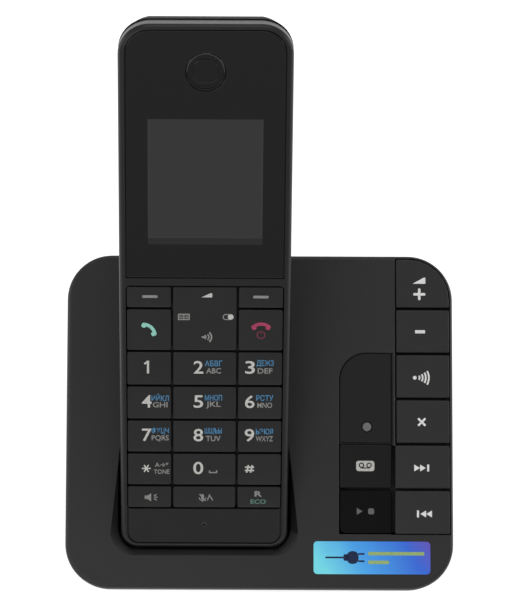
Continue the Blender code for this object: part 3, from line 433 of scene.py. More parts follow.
def ink(name, colour, rough=0.5):
    # screen-printed ink: a little uneven, thinner in spots
    look = Look(name, {"Specular IOR Level": 0.3})
    thin = look.noise(3.5, 3.0, 0.6)
    faded = tuple(part * 0.72 for part in colour)
    printed = look.mixed(look.step(thin, 0.35, 0.62), (*faded, 1.0), (*colour, 1.0))
    return look.finish(printed, rough - 0.1 + thin * 0.2, thin, 0.004)


def metalLook(name, colour, rough, along, place=basePlace):
    look = Look(name, {"Metallic": 1.0}, place)
    lines = look.noise(6.0, 2.0, 0.6, look.stretched(along))
    stain = look.noise(0.25, 4.0, 0.6)
    worn = tuple(part * 0.75 for part in colour)
    stained = look.mixed(stain, (*worn, 1.0), (*colour, 1.0))
    return look.finish(stained, rough + lines * 0.12 + stain * 0.1, lines, 0.003)


def boardLook(name, place):
    # solder mask over a net of copper tracks, with tinned pads
    look = Look(name, {"Specular IOR Level": 0.5}, place)
    edges = look.cells(0.55, "DISTANCE_TO_EDGE")
    track = 1 - look.step(edges, 0.03, 0.07)
    pads = 1 - look.step(look.cells(0.8), 0.16, 0.20)
    mask = look.mixed(look.noise(0.3, 2.0), (0.008, 0.055, 0.020, 1), (0.013, 0.075, 0.028, 1))
    colour = look.mixed(track, mask, (0.025, 0.120, 0.045, 1))
    look.feed("Metallic", pads * 0.9)
    colour = look.mixed(pads, colour, (0.55, 0.55, 0.52, 1))
    return look.finish(colour, 0.42 - pads * 0.12, track * 0.5 + pads, 0.02)


def cellLook():
    # shrink sleeve: green with a paler band at the button end, drawn tight so that it wrinkles
    look = Look("cellSleeve", {"Specular IOR Level": 0.5}, handsetPlace)
    _, y, _ = look.axes()
    low, high = localBox(handsetPlace, "battery_cell_left")
    band = look.within(y, high.y - 9.0, high.y - 3.5, 0.15)
    steel = 1 - look.within(y, low.y + 0.7, high.y - 0.9, 0.1)
    wrinkle = look.noise(1.6, 3.0, 0.6, look.stretched((1.0, 0.2, 1.0)))
    green = look.mixed(wrinkle, (0.020, 0.150, 0.060, 1), (0.030, 0.210, 0.085, 1))
    colour = look.mixed(band, green, (0.55, 0.58, 0.52, 1))
    look.feed("Metallic", steel)
    colour = look.mixed(steel, colour, (0.60, 0.60, 0.61, 1))
    return look.finish(colour, 0.28 + wrinkle * 0.12, wrinkle, 0.03)


def softRubber(name, tone, place, rough=0.8):
    look = Look(name, {"Specular IOR Level": 0.3}, place)
    grain = look.noise(2.5, 4.0, 0.7)
    bloom = look.noise(0.15, 3.0, 0.6)
    colour = look.mixed(bloom, grey(tone * 0.8), grey(tone * 1.5))
    return look.finish(colour, rough - 0.08 + grain * 0.15, grain, 0.02)


def labelLook():
    # foil label that runs from cyan through blue to violet
    low, high = labelSize["low"], labelSize["high"]
    look = Look("labelFoil", {"Specular IOR Level": 0.5, "Coat Roughness": 0.15}, slopePlace)
    x, y, _ = look.axes()
    span = (x - low[0]) * (labelSize["spread"] / (high[0] - low[0])) + (y - low[1]) * labelSize["slant"]
    span = span - labelSize["offset"]
    haze = look.noise(0.12, 2.0)
    colour = look.ramp(span + haze * 0.12 - 0.06, labelSize["stops"])
    look.feed("Coat Weight", 0.2 + haze * 0.1)
    return look.finish(colour, 0.32 + haze * 0.1)


labelSize = {
    "low": (15.7, 4.5), "high": (49.45, 13.95), "corner": 1.1, "lift": 0.01, "thick": 0.08,
    "spread": 0.93, "slant": 0.018, "offset": 0.09,
    "stops": (
        (0.0, (0.200, 0.860, 0.980, 1)), (0.36, (0.060, 0.420, 0.980, 1)),
        (0.80, (0.024, 0.150, 0.800, 1)), (1.0, (0.130, 0.090, 0.560, 1)),
    ),
}

looks = {
    "base": texturedPlastic("basePlastic", slopePlace, 0.0125, 0.44, 0.28, 0.026, 0.42),
    "lower": texturedPlastic("lowerCasePlastic", basePlace, 0.011, 0.55, 0.40, 0.035, 0.38),
    "front": satinPlastic("bezelPlastic", handsetPlace, 0.0128, 0.34, 0.30),
    "rear": texturedPlastic("rearPlastic", handsetPlace, 0.010, 0.56, 0.30, 0.022, 0.10),
    "glass": panelGlass(),
    "earpiece": satinPlastic("earpiecePlastic", handsetPlace, 0.003, 0.13, 0.5),
    "key": satinPlastic("keyPlastic", handsetPlace, 0.0102, 0.38, 0.36, 0.05),
    "baseKey": satinPlastic("baseKeyPlastic", slopePlace, 0.0135, 0.42, 0.40, 0.06),
    "window": satinPlastic("windowPlastic", slopePlace, 0.003, 0.20, 0.38),
    "playKey": satinPlastic("playKeyPlastic", slopePlace, 0.003, 0.22, 0.12),
    "answerKey": satinPlastic("answerKeyPlastic", slopePlace, 0.004, 0.30, 0.25),
    "silicone": softRubber("siliconeMat", 0.030, handsetPlace, 0.7),
    "rubber": softRubber("footRubber", 0.020, basePlace, 0.85),
    "board": boardLook("handsetBoard", handsetPlace),
    "baseBoard": boardLook("baseBoard", slopePlace),
    "cell": cellLook(),
    "steel": metalLook("platedSteel", (0.52, 0.52, 0.53), 0.28, (0.2, 1.0, 1.0)),
    "screw": metalLook("blackenedSteel", (0.08, 0.08, 0.085), 0.35, (1.0, 1.0, 0.3)),
    "gold": metalLook("contactPlating", (0.78, 0.60, 0.28), 0.22, (1.0, 0.3, 1.0)),
    "socket": texturedPlastic("socketPlastic", basePlace, 0.010, 0.50, 0.5, 0.02),
    "lamp": satinPlastic("frostedLamp", slopePlace, 0.16, 0.45, 0.4),
    "label": labelLook(),
}
inks = {
    "white": (0.64, 0.63, 0.60), "brightInk": (0.95, 0.95, 0.94), "paleInk": (0.30, 0.30, 0.29),
    "dimInk": (0.16, 0.16, 0.16), "blueInk": (0.085, 0.270, 0.480), "mintInk": (0.33, 0.72, 0.60),
    "roseInk": (0.46, 0.055, 0.135), "dimRoseInk": (0.17, 0.028, 0.058), "ecoInk": (0.13, 0.27, 0.22),
    "badgeInk": (0.030, 0.032, 0.035), "labelInk": (0.008, 0.020, 0.075), "labelLine": (0.40, 0.56, 0.20),
}
for inkName, colour in inks.items():
    looks[inkName] = ink("whiteInk" if inkName == "white" else inkName, colour)
print("stage: materials")

# handset shells

shell = {
    "topCorner": 8.5, "footCorner": 5.0, "edgeRound": 1.6, "backRound": 4.9, "wall": 1.6, "face": 1.8,
    "rim": 1.85, "play": 0.3, "endPlay": 0.5, "lip": 0.14, "drawIn": 3.0, "drawFrom": 9, "drawSpan": 15,
    "parting": 0.15, "panelDepth": 1.0, "stepBack": 0.35, "stepRun": 12, "stepFrom": 14,
    "grooveWide": 0.42, "grooveDeep": 0.7, "grooveFoot": 1.6, "grooveCorner": 3.4,
    "taperStart": 120.0, "taperSteps": 12, "topDepth": 13.0, "microphoneUp": 7.55,
    "lipHalf": 22.4, "lipLow": 1.0, "lipHigh": 155.9,
}
handsetLow, handsetHigh = localBox(handsetPlace, "handset_front_housing")
rearLow, rearHigh = localBox(handsetPlace, "handset_rear_housing")
digitKeys = ["key_" + digit for digit in "123456789"]
faceKeys = ["soft_key_left", "soft_key_right", "talk_key", "off_key", "navigator_key", *digitKeys]
faceKeys += ["key_star", "key_0", "key_hash", "speakerphone_key", "mute_key", "recall_key"]
padLow, padHigh = localBox(handsetPlace, *faceKeys)


def shellCorners(less=0.0):
    top, foot = shell["topCorner"] - less, shell["footCorner"] - less
    return bothEnds(foot, top)


def frontShell():
    wall, play = shell["wall"], shell["play"]
    shape = slab(handsetLow, handsetHigh, shellCorners(), 12)
    roundTop(shape, 0, shell["edgeRound"], 6)
    # the bezel's top end steps back towards the seam with the rear shell
    for corner in shape.verts:
        if corner.co.z < handsetLow.z + nearly:
            share = max(0.0, 1 - (handsetHigh.y - corner.co.y) / shell["stepRun"])
            corner.co.y -= shell["stepBack"] * share
            if abs(corner.co.x) > shell["stepFrom"]:
                corner.co.x -= math.copysign(shell["stepBack"] * share, corner.co.x)
    hollow = slab(handsetLow + Vector((wall, wall, -3)), handsetHigh - Vector((wall, wall, shell["face"])),
                  shellCorners(wall))
    shape = carve(shape, hollow)
    low, high = localBox(handsetPlace, "display_window")
    corner = shell["topCorner"] - shell["rim"]
    corners = bothEnds(0.0, corner)
    shape = carve(shape, around(low, high, play, -shell["panelDepth"], 2, corners, 12))
    ends = Vector((0, shell["endPlay"] - play, 0))
    shape = carve(shape, around(padLow - ends, padHigh + ends, play, -6, 2, 1.2, 5))
    # the groove that outlines the blank chin below the keys
    side, foot, wide = padHigh.x + play, shell["grooveFoot"], shell["grooveWide"]
    outer, inner = shell["grooveCorner"], shell["grooveCorner"] - wide
    outline = slab((-side, foot, -shell["grooveDeep"]), (side, padLow.y, 2), bothEnds(outer, 0.0))
    island = slab((wide - side, foot + wide, -9), (side - wide, padLow.y + 9, 9), bothEnds(inner, 0.0))
    shape = carve(shape, carve(outline, island))

    def opening(spot):
        inside = abs(spot.x) < shell["lipHalf"] and shell["lipLow"] < spot.y < shell["lipHigh"]
        return inside and spot.z > -nearly

    roundEdges(shape, edgesWhere(shape, opening), shell["lip"], 2)
    funnel = turned([(0, -3), (0.28, -3), (0.28, -0.22), (0.62, -0.08), (1.15, 0.02), (0, 0.02)], 24)
    shape = carve(shape, shifted(funnel, 0, shell["microphoneUp"]))
    settle("bezel", shape, handsetPlace, "handset", looks["front"],
           ["handset_front_housing"])


def thinned(shape):
    # the back draws in towards the top of the handset
    start, steps = shell["taperStart"], shell["taperSteps"]
    span = handsetHigh.y - start
    for step in range(steps):
        cutAcross(shape, (0, start + span * step / steps, 0), (0, 1, 0))
    full = rearHigh.z - rearLow.z
    for corner in shape.verts:
        share = max(0.0, (corner.co.y - start) / span)
        depth = full - (-rearLow.z - shell["topDepth"]) * share ** 2
        if corner.co.z < rearHigh.z:
            behind = (rearHigh.z - corner.co.z) / full
            corner.co.z = rearHigh.z + (corner.co.z - rearHigh.z) * depth / full
            outer = max(0.0, (abs(corner.co.x) - shell["drawFrom"]) / shell["drawSpan"])
            corner.co.y -= shell["drawIn"] * outer ** 2 * share * behind ** 0.5
    return shape


rear = {
    "wellPlay": Vector((0.6, 1.8, 0.0)), "wellWall": 1, "slots": 5, "slotUp": 124.0, "slotPitch": 2.6,
    "slotLow": (-6.5, -0.6, -30), "slotHigh": (6.5, 0.6, -12.0), "contactSide": 8.0, "contactHalf": 1.9,
}


def rearShell():
    wall = shell["wall"]
    shape = slab(rearLow, rearHigh, shellCorners(), 12)
    roundBack(shape, rearLow.z, shell["backRound"], 8)
    shape = thinned(shape)
    roundTop(shape, rearHigh.z, shell["parting"], 3)
    hollow = slab(rearLow + Vector((wall, wall, wall)), rearHigh + Vector((-wall, -wall, 3)),
                  shellCorners(wall))
    roundBack(hollow, rearLow.z + wall, shell["backRound"] - wall, 6)
    shape = carve(shape, thinned(hollow))
    # the well for the two cells
    low, high = localBox(handsetPlace, "battery_cell_left", "battery_cell_right")
    low, high = low - rear["wellPlay"], high + rear["wellPlay"]
    tub = around(low, high, rear["wellWall"], rearLow.z + 0.8, high.z + 1.3, 1.0, 4)
    shape = carve(shape, tub, "UNION")
    shape = carve(shape, around(low, high, 0, -40, high.z + 0.3, 0.6, 4))
    for step in range(rear["slots"]):
        slot = slab(rear["slotLow"], rear["slotHigh"], 0.55, 4)
        shape = carve(shape, shifted(slot, 0, rear["slotUp"] + step * rear["slotPitch"]))
    low, high = localBox(handsetPlace, "handset_charge_contacts")
    half = rear["contactHalf"]
    for side in (-1, 1):
        hole = slab((-half, -5, low.z - 0.3), (half, 5, high.z + 0.3), 0.3, 2)
        shape = carve(shape, shifted(hole, side * rear["contactSide"], 0))
    settle("rearShell", shape, handsetPlace, "handset", looks["rear"],
           ["handset_rear_housing"])


cover = {
    "corner": 4.0, "round": 2.1, "wall": 1.4, "side": 2.2, "hollowCorner": 2.0,
    "grooves": 6, "groovePitch": 2.0, "groove": 0.7, "grooveHalf": 7.0, "gripUp": 52.0,
}


def batteryCover():
    low, high = localBox(handsetPlace, "battery_cover")
    shape = slab(low, high, cover["corner"])
    roundBack(shape, low.z, cover["round"], 6)
    shape = carve(shape, around(low, high, -cover["side"], low.z + cover["wall"], high.z + 2,
                                cover["hollowCorner"], 5))
    for step in range(cover["grooves"]):
        groove = rod(cover["groove"], -cover["grooveHalf"], cover["grooveHalf"], 20)
        moved(groove, Matrix.Rotation(math.pi / 2, 4, "Y"))
        y = cover["gripUp"] + step * cover["groovePitch"]
        shape = carve(shape, shifted(groove, 0, y, low.z - cover["groove"] * 0.45))
    settle("batteryDoor", shape, handsetPlace, "battery_cover_body", looks["rear"],
           ["battery_cover"])


earpiece = {
    "up": 143.8, "opening": 5.55, "rimReach": 6, "radius": 5.4, "dish": 0.16, "pad": 6.6, "padCorner": 2.0,
    "padRise": 0.30, "padRound": 0.22, "slotLong": 3.4, "slotWide": 0.75, "slotGap": 0.05,
}


def displayPanel():
    low, high = localBox(handsetPlace, "display_window")
    corner = shell["topCorner"] - shell["rim"] - shell["play"]
    shape = slab(low, high, bothEnds(0.3, corner), 12)
    roundTop(shape, high.z, 0.16, 3)
    shape = carve(shape, shifted(rod(earpiece["opening"], -5, 5, 64), 0, earpiece["up"]))

    def nearEar(spot):
        away = (spot.xy - Vector((0, earpiece["up"]))).length
        return spot.z > high.z - nearly and away < earpiece["rimReach"]

    roundEdges(shape, edgesWhere(shape, nearEar), 0.12, 3)
    settle("displayPanel", shape, handsetPlace, "handset", looks["glass"], ["display_window"])


def earpieceCap():
    low, high = localBox(handsetPlace, "earpiece_cap")
    radius, floor, top = earpiece["radius"], low.z, high.z
    dish = floor + earpiece["dish"]
    shape = turned([
        (0, floor), (radius, floor), (radius, top - 0.10), (radius - 0.10, top), (radius - 0.22, top),
        (radius - 0.42, top - 0.14), (radius - 0.50, dish), (0, dish),
    ], 72)
    half = earpiece["pad"] / 2
    rise = dish + earpiece["padRise"]
    pad = slab((-half, -half, floor + 0.02), (half, half, rise), earpiece["padCorner"])
    roundTop(pad, rise, earpiece["padRound"])
    shape = carve(shape, pad, "UNION")
    along, near = earpiece["slotLong"] / 2, half + earpiece["slotGap"]
    for quarter in range(4):
        slot = slab((-along, near, floor + 0.06), (along, near + earpiece["slotWide"], 2), 0.3, 3)
        shape = carve(shape, spun(slot, quarter * 90))
    settle("earpieceGrille", shifted(shape, 0, earpiece["up"]), handsetPlace, "handset",
           looks["earpiece"], ["earpiece_cap"])


frontShell()
rearShell()
batteryCover()
displayPanel()
earpieceCap()
print("stage: handset shells")

# keys

cap = {
    "corner": 0.55, "round": 0.26, "crown": 0.13, "print": 0.02, "fuller": 0.08,
    "cuts": 8, "swellFrom": 0.5,
}
caps = {}


def crownHeight(low, high, x, y, crown, tilt):
    across = (2 * x - low.x - high.x) / (high.x - low.x)
    along = (2 * y - low.y - high.y) / (high.y - low.y)
    middle = (low + high) / 2
    swell = crown * max(0.0, 1 - across ** 2) * max(0.0, 1 - along ** 2)
    return swell + (x - middle.x) * tilt[0] + (y - middle.y) * tilt[1]


def keyCap(node, place, look, corners, crown, tilt=(0.0, 0.0), rounding=None):
    # a moulded key: rounded corners and rim, and a top that swells a little, or tilts
    low, high = localBox(place, node)
    fuller = Vector((cap["fuller"], cap["fuller"], 0))
    low, high = low - fuller, high + fuller
    shape = slab(low, high, corners, 6)
    roundTop(shape, high.z, rounding or cap["round"])
    for normal in ((1, 0, 0), (0, 1, 0)):
        for step in range(1, cap["cuts"]):
            cutAcross(shape, low.lerp(high, step / cap["cuts"]), normal)
    for corner in shape.verts:
        if corner.co.z > high.z - cap["swellFrom"]:
            corner.co.z += crownHeight(low, high, corner.co.x, corner.co.y, crown, tilt)
    body = "navigator" if node == "navigator_key" else node + "_body"
    caps[node] = (place, body, low, high, crown, tilt)
    settle("cap_" + node, shape, place, body, look, [node])


def handsetKeys():
    for node in faceKeys:
        crown = cap["crown"] if node != "navigator_key" else cap["crown"] * 0.5
        keyCap(node, handsetPlace, looks["key"], cap["corner"], crown)


baseCap = {
    "corner": 0.5, "farCorner": 11.9, "footCorner": 1.9, "round": 0.5, "crown": 0.16, "play": 0.3,
    "glossRound": 0.3, "glossCrown": 0.1, "playTilt": (0.0, -0.03), "answerTilt": (-0.02, 0.02),
}
skipKeys = ["skip_back_key", "skip_forward_key"]
columnKeys = ["erase_key", "locator_key", "volume_down_key", "volume_up_key"]


def baseKeys():
    corner = baseCap["corner"]
    for node in skipKeys + columnKeys:
        corners = corner
        if node == "volume_up_key":
            corners = fourCorners(corner, corner, corner, baseCap["farCorner"])
        keyCap(node, slopePlace, looks["baseKey"], corners, baseCap["crown"],
               rounding=baseCap["round"])
    playCorners = fourCorners(baseCap["footCorner"], corner, corner, corner)
    glossy = (("play_stop_key", "playKey", playCorners, baseCap["playTilt"]),
              ("answer_on_key", "answerKey", corner, baseCap["answerTilt"]))
    for node, look, corners, tilt in glossy:
        keyCap(node, slopePlace, looks[look], corners, baseCap["glossCrown"], tilt,
               baseCap["glossRound"])


handsetKeys()
baseKeys()
print("stage: keys")

# base shells

base = {
    "corner": 13.0, "edgeRound": 1.3, "wall": 2.0, "roof": 2.4, "lip": 0.5, "lipSlope": 0.6,
    "pocketGap": 1.0, "liner": 1.8, "pocketRound": 7.0, "pocketFoot": 5.9, "pocketRim": 1.2,
    "flareOut": 2.2, "flareDeep": 1.3, "flareLow": 2.0, "flareHigh": 38.0, "flareCorner": 6.5,
    "stripCorner": 8.0, "stripFoot": 2.2, "stripDeep": 1.7, "lampHole": 1.6,
    "sillLow": -8.9, "sillHigh": -7.4, "sillReach": 15,
}
coverLow, coverHigh = Vector((-56.15, 0, -9)), Vector((56.15, 97.2, 0))
onSlope = slopePlace.inverted() @ handsetPlace
lampLow, lampHigh = localBox(slopePlace, "indicator_light_pipe")
lamp = (lampLow + lampHigh) / 2


def pocketShape(grow, high):
    # the handset's outline grown on every side, as a plug that stands in the pocket
    by = base["pocketGap"] + grow
    low = Vector((handsetLow.x - by, handsetLow.y - by, rearLow.z - by))
    shape = slab(low, (handsetHigh.x + by, high, 30.0))
    back, foot = low.z + nearly, low.y + nearly
    lengthwise = [edge for edge in edgesWhere(shape, lambda spot: spot.z < back) if isAlong(edge)]
    roundEdges(shape, lengthwise, base["pocketRound"] + grow, 10)
    roundEdges(shape, edgesWhere(shape, lambda spot: spot.y < foot), base["pocketFoot"] + grow, 8)
    return moved(shape, onSlope)


def isAlong(edge):
    first, second = edge.verts
    return abs(first.co.y - second.co.y) > 1.0


def lipCutter(low, high, corners):
    # cuts a slope round the mouth of an opening
    lip = base["lip"]
    shape = around(Vector(low), Vector(high), lip, -lip, 3, corners, 14)
    roundBack(shape, -lip, lip, 1)
    for corner in shape.verts:
        if corner.co.z < nearly:
            corner.co.z *= base["lipSlope"]
    return shape


def sill():
    # closes the cover's underside behind the rear wall
    rearY = localBox(basePlace, "base_bottom_housing")[1].y * mm
    wallTop = slopePlace.inverted() @ Vector((0, rearY, slopeFoot.z + 0.04))
    corner = base["corner"] - 1
    start = min(wallTop.y - 6, coverHigh.y - base["sillReach"])
    low = (coverLow.x + 1, start, base["sillLow"])
    high = (coverHigh.x - 1, coverHigh.y - 1, base["sillHigh"])
    return slab(low, high, fourCorners(0.0, 0.0, corner, corner), 12)


def withPocket(shape):
    under = slab((coverLow.x + 1.2, 1, -90), (coverHigh.x - 1.2, coverHigh.y - 1, -1.2), 12.0, 6)
    shape = carve(shape, carve(pocketShape(base["liner"], 75), under, "INTERSECT"), "UNION")
    shape = carve(shape, pocketShape(0.0, 80))
    # the pocket's mouth opens out towards the foot of the handset
    centre, reach = onSlope.to_translation().x, handsetHigh.x + base["pocketGap"]
    low, wide = placing["handsetRest"] - base["flareLow"], reach + base["flareOut"]
    corner = base["flareCorner"]
    mouth = slab((centre - wide, low, -base["flareDeep"]), (centre + wide, base["flareHigh"], 0.05),
                 bothEnds(corner, 0.0), 10)
    for corner in mouth.verts:
        if corner.co.z < 0:
            corner.co.x = centre + (corner.co.x - centre) * (reach - 0.2) / wide
            corner.co.y += 1.5 if corner.co.y < 20 else 0.0
        elif corner.co.y > 20:
            corner.co.x = centre + (corner.co.x - centre) * (reach - 0.1) / wide
    shape = carve(shape, mouth)

    def rim(spot):
        across = abs(spot.x - centre) < wide + 0.5
        return across and spot.z > -nearly and low - 0.5 < spot.y < 60

    roundEdges(shape, edgesWhere(shape, rim), base["pocketRim"], 5)
    return shape


def withKeyOpenings(shape):
    low, high = localBox(slopePlace, *columnKeys)
    skipLow, skipHigh = localBox(slopePlace, *skipKeys)
    stripLow, stripHigh = localBox(slopePlace, "indicator_window", "play_stop_key", "answer_on_key")
    play, lip, floor = baseCap["play"], base["lip"], low.z - 1.0
    far = base["corner"] - 1 + play
    column = slab((low.x - play, skipLow.y - play, floor), (high.x + play, high.y + play, 3),
                  fourCorners(0.0, 0.0, 0.0, far), 20)
    shape = carve(shape, column)
    shape = carve(shape, lipCutter((low.x - play, skipLow.y - play), (high.x - 2, high.y - 3), 0.0))
    # no rib stands between the two skip keys and the strip's keys
    ribTop = min(skipHigh.y, localBox(slopePlace, "indicator_window")[0].y)
    shape = carve(shape, slab((stripHigh.x - 0.1, skipLow.y - play, floor), (high.x, ribTop, 3)))
    foot, corner = base["stripFoot"], base["stripCorner"]
    corners = fourCorners(foot, 0.3, corner, 0.3)
    shape = carve(shape, around(stripLow, stripHigh, play, -base["stripDeep"], 3, corners, 14))
    corners = fourCorners(foot + lip, 0.0, corner + lip, 0.0)
    shape = carve(shape, lipCutter((stripLow.x - play, stripLow.y - play),
                                   (stripHigh.x + play, stripHigh.y + play), corners))
    keyLow, keyHigh = localBox(slopePlace, "play_stop_key", "answer_on_key")
    return carve(shape, around(keyLow, keyHigh, play, floor, 0, 0.3, 3))


def topShell():
    wall, corner = base["wall"], base["corner"]
    shape = slab(coverLow, coverHigh, corner, 20)
    roundTop(shape, 0, base["edgeRound"], 6)
    hollow = slab(coverLow + Vector((wall, wall, -9)), coverHigh - Vector((wall, wall, base["roof"])),
                  corner - wall, 12)
    shape = carve(carve(shape, hollow), sill(), "UNION")
    shape = withKeyOpenings(withPocket(shape))
    shape = carve(shape, shifted(rod(base["lampHole"], -9, 3), lamp.x, lamp.y))
    settle("topShell", shape, slopePlace, "base", looks["base"], ["base_top_housing"])


def indicatorWindow():
    low, high = localBox(slopePlace, "indicator_window")
    corner = base["stripCorner"] - baseCap["play"]
    shape = slab(low, high, fourCorners(0.3, 0.3, corner, 0.3), 14)
    roundTop(shape, high.z, 0.2, 3)
    shape = carve(shape, shifted(rod(base["lampHole"], -9, 3, 40), lamp.x, lamp.y))
    settle("stripWindow", shape, slopePlace, "base", looks["window"], ["indicator_window"])
    radius = (lampHigh.x - lampLow.x) / 2
    dome = turned([
        (0, lampLow.z), (radius, lampLow.z), (radius, lampHigh.z - 0.1), (radius - 0.15, lampHigh.z + 0.05),
        (radius * 0.5, lampHigh.z + 0.16), (0, lampHigh.z + 0.2),
    ], 40)
    settle("lampLens", shifted(dome, lamp.x, lamp.y), slopePlace, "base", looks["lamp"],
           ["indicator_light_pipe"])


topShell()
indicatorWindow()
print("stage: base shells")

# printed legends


def bar(length, width, turn=0.0, rounding=0.45, x=0.0, y=0.0):
    # a flat stroke with rounded ends
    shape = bmesh.new()
    bmesh.ops.create_grid(shape, x_segments=1, y_segments=1, size=0.5)
    bmesh.ops.scale(shape, vec=(length, width, 1), verts=shape.verts)
    if rounding:
        bmesh.ops.bevel(
            shape, geom=shape.verts[:], offset=width * rounding, offset_type="OFFSET", affect="VERTICES",
            segments=4, profile=0.5, material=-1, clamp_overlap=True,
        )
    return shifted(spun(shape, turn), x, y)


def flat(*points):
    shape = bmesh.new()
    shape.faces.new([shape.verts.new((x, y, 0)) for x, y in points])
    return shape


def dot(radius, steps=24):
    shape = bmesh.new()
    bmesh.ops.create_circle(shape, cap_ends=True, segments=steps, radius=radius)
    return shape


def arc(radius, width, start, sweep, steps=16, x=0.0, y=0.0):
    # a flat stroke bent round its own centre
    shape = bmesh.new()
    way = Vector((math.cos(math.radians(start)), math.sin(math.radians(start)), 0))
    ends = [shape.verts.new(way * reach) for reach in (radius - width / 2, radius + width / 2)]
    edge = shape.edges.new(ends)
    bmesh.ops.spin(
        shape, geom=ends + [edge], axis=(0, 0, 1), cent=(0, 0, 0), angle=math.radians(sweep),
        steps=steps, use_merge=abs(sweep) >= 360,
    )
    return shifted(shape, x, y)


def words(text, height, stretch=1.0, weight=0.0):
    # lettering whose capitals are as tall as height, centred on the origin
    curve = bpy.data.curves.new("words", "FONT")
    curve.body = text
    curve.size = height / 0.7
    curve.offset = weight
    curve.resolution_u = 3
    curve.fill_mode = "FRONT"
    holder = bpy.data.objects.new("words", curve)
    scene.collection.objects.link(holder)
    shape = evaluatedShape(holder)
    bpy.data.objects.remove(holder)
    bpy.data.curves.remove(curve)
    bmesh.ops.scale(shape, vec=(stretch, 1, 1), verts=shape.verts)
    low = Vector([min(corner.co[axis] for corner in shape.verts) for axis in range(2)])
    high = Vector([max(corner.co[axis] for corner in shape.verts) for axis in range(2)])
    return shifted(shape, -(low.x + high.x) / 2, -(low.y + high.y) / 2)


def fitted(text, height, wide, weight=0.035):
    # lettering drawn out or in to a given width
    shape = words(text, height, 1.0, weight)
    span = max(corner.co.x for corner in shape.verts) - min(corner.co.x for corner in shape.verts)
    bmesh.ops.scale(shape, vec=(wide / span, 1, 1), verts=shape.verts)
    return shape


def raised(strokes, at):
    # flat strokes with the thickness of a print, moved to their place
    shape = shifted(gathered(strokes), *at)
    made = bmesh.ops.extrude_face_region(shape, geom=shape.faces[:])["geom"]
    upper = [item for item in made if isinstance(item, bmesh.types.BMVert)]
    bmesh.ops.translate(shape, vec=(0, 0, cap["print"]), verts=upper)
    return shape


def legend(node, name, strokes, inkName, at):
    # prints on a key, following its swelling
    place, body, low, high, crown, tilt = caps[node]
    shape = raised(strokes, at)
    for corner in shape.verts:
        swell = crownHeight(low, high, corner.co.x, corner.co.y, crown, tilt)
        corner.co.z += high.z + swell + cap["print"] / 2
    settle(name, shape, place, body, looks[inkName])


letters = {
    "2": ("АБВГ", "ABC"), "3": ("ДЕЖЗ", "DEF"), "4": ("ИЙКЛ", "GHI"), "5": ("МНОП", "JKL"),
    "6": ("РСТУ", "MNO"), "7": ("ФХЦЧ", "PQRS"), "8": ("ШЩЪЫ", "TUV"), "9": ("ЬЭЮЯ", "WXYZ"),
}
digits = {
    "height": 3.8, "wide": 2.75, "weight": 0.06, "left": -16.4, "middle": -1.75, "right": 12.8, "up": 0.5,
    "letterHeight": 1.6, "letterWide": 4.9, "narrow": 0.86, "letterOver": 4.25, "leftShift": 0.45,
    "upper": 1.2, "lower": -1.05, "oneShift": 0.4, "starOver": -16.6, "toneOver": -12.2,
}


def capMiddle(node):
    _, _, low, high, _, _ = caps[node]
    return (low + high) / 2


def digitSpot(node):
    middle = capMiddle(node)
    y = middle.y + digits["up"]
    if abs(middle.x) < 3:
        return digits["middle"], y
    return digits["left"] if middle.x < 0 else digits["right"], y


def digitStroke(digit, wider=1.0):
    return [fitted(digit, digits["height"], digits["wide"] * wider, digits["weight"])]


def digitLegends():
    tall, wide = digits["letterHeight"], digits["letterWide"]
    for digit, (upper, lower) in letters.items():
        node = "key_" + digit
        x, y = digitSpot(node)
        legend(node, "digit_" + digit, digitStroke(digit), "white", (x, y))
        over = x + digits["letterOver"] - (digits["leftShift"] if x < -9 else 0.0)
        legend(node, "upperLetters_" + digit, [fitted(upper, tall, wide)], "blueInk",
               (over, y + digits["upper"]))
        narrow = wide * (digits["narrow"] if len(lower) == 3 else 1.0)
        legend(node, "lowerLetters_" + digit, [fitted(lower, tall, narrow)], "paleInk",
               (over, y + digits["lower"]))
    x, y = digitSpot("key_1")
    one = [bar(0.62, 3.9, 0, 0), bar(1.35, 0.55, 38, 0.2, -0.5, 1.35)]
    legend("key_1", "digit_1", one, "white", (x + digits["oneShift"], y))
    legend("key_0", "digit_0", digitStroke("0", 1.05), "white", digitSpot("key_0"))
    space = [bar(2.4, 0.36, 0, 0), bar(0.36, 0.78, 0, 0, -1.02, 0.3), bar(0.36, 0.78, 0, 0, 1.02, 0.3)]
    legend("key_0", "spaceMark", space, "paleInk", (2.5, capMiddle("key_0").y - 0.9))
    y = capMiddle("key_star").y + 0.3
    star = [bar(2.6, 0.4, turn) for turn in (0, 60, 120)]
    legend("key_star", "starMark", star, "white", (digits["starOver"], y))
    legend("key_star", "toneUpper", [fitted("A→*", 1.3, 3.9)], "paleInk", (digits["toneOver"], y + 1.2))
    legend("key_star", "toneWord", [fitted("TONE", 1.35, 4.5)], "paleInk", (digits["toneOver"], y - 1.0))
    net = [bar(2.6, 0.44, 0, 0, y=side * 0.5) for side in (-1, 1)]
    net += [bar(2.4, 0.44, 78, 0, side * 0.56) for side in (-1, 1)]
    legend("key_hash", "hashMark", net, "white", (12.9, capMiddle("key_hash").y + 0.3))


def receiver(span, bow, thick, lobe):
    # a telephone receiver seen from the side: a bowed grip and two thicker ends
    radius = (span ** 2 / 4 + bow ** 2) / (2 * bow)
    half = math.degrees(math.asin(span / 2 / radius))
    strokes = [arc(radius, thick, 90 - half, 2 * half, y=bow - radius)]
    for side in (-1, 1):
        strokes.append(bar(lobe, lobe * 1.15, side * -25, 0.3, side * (span / 2 - lobe * 0.2), -lobe * 0.15))
    return strokes


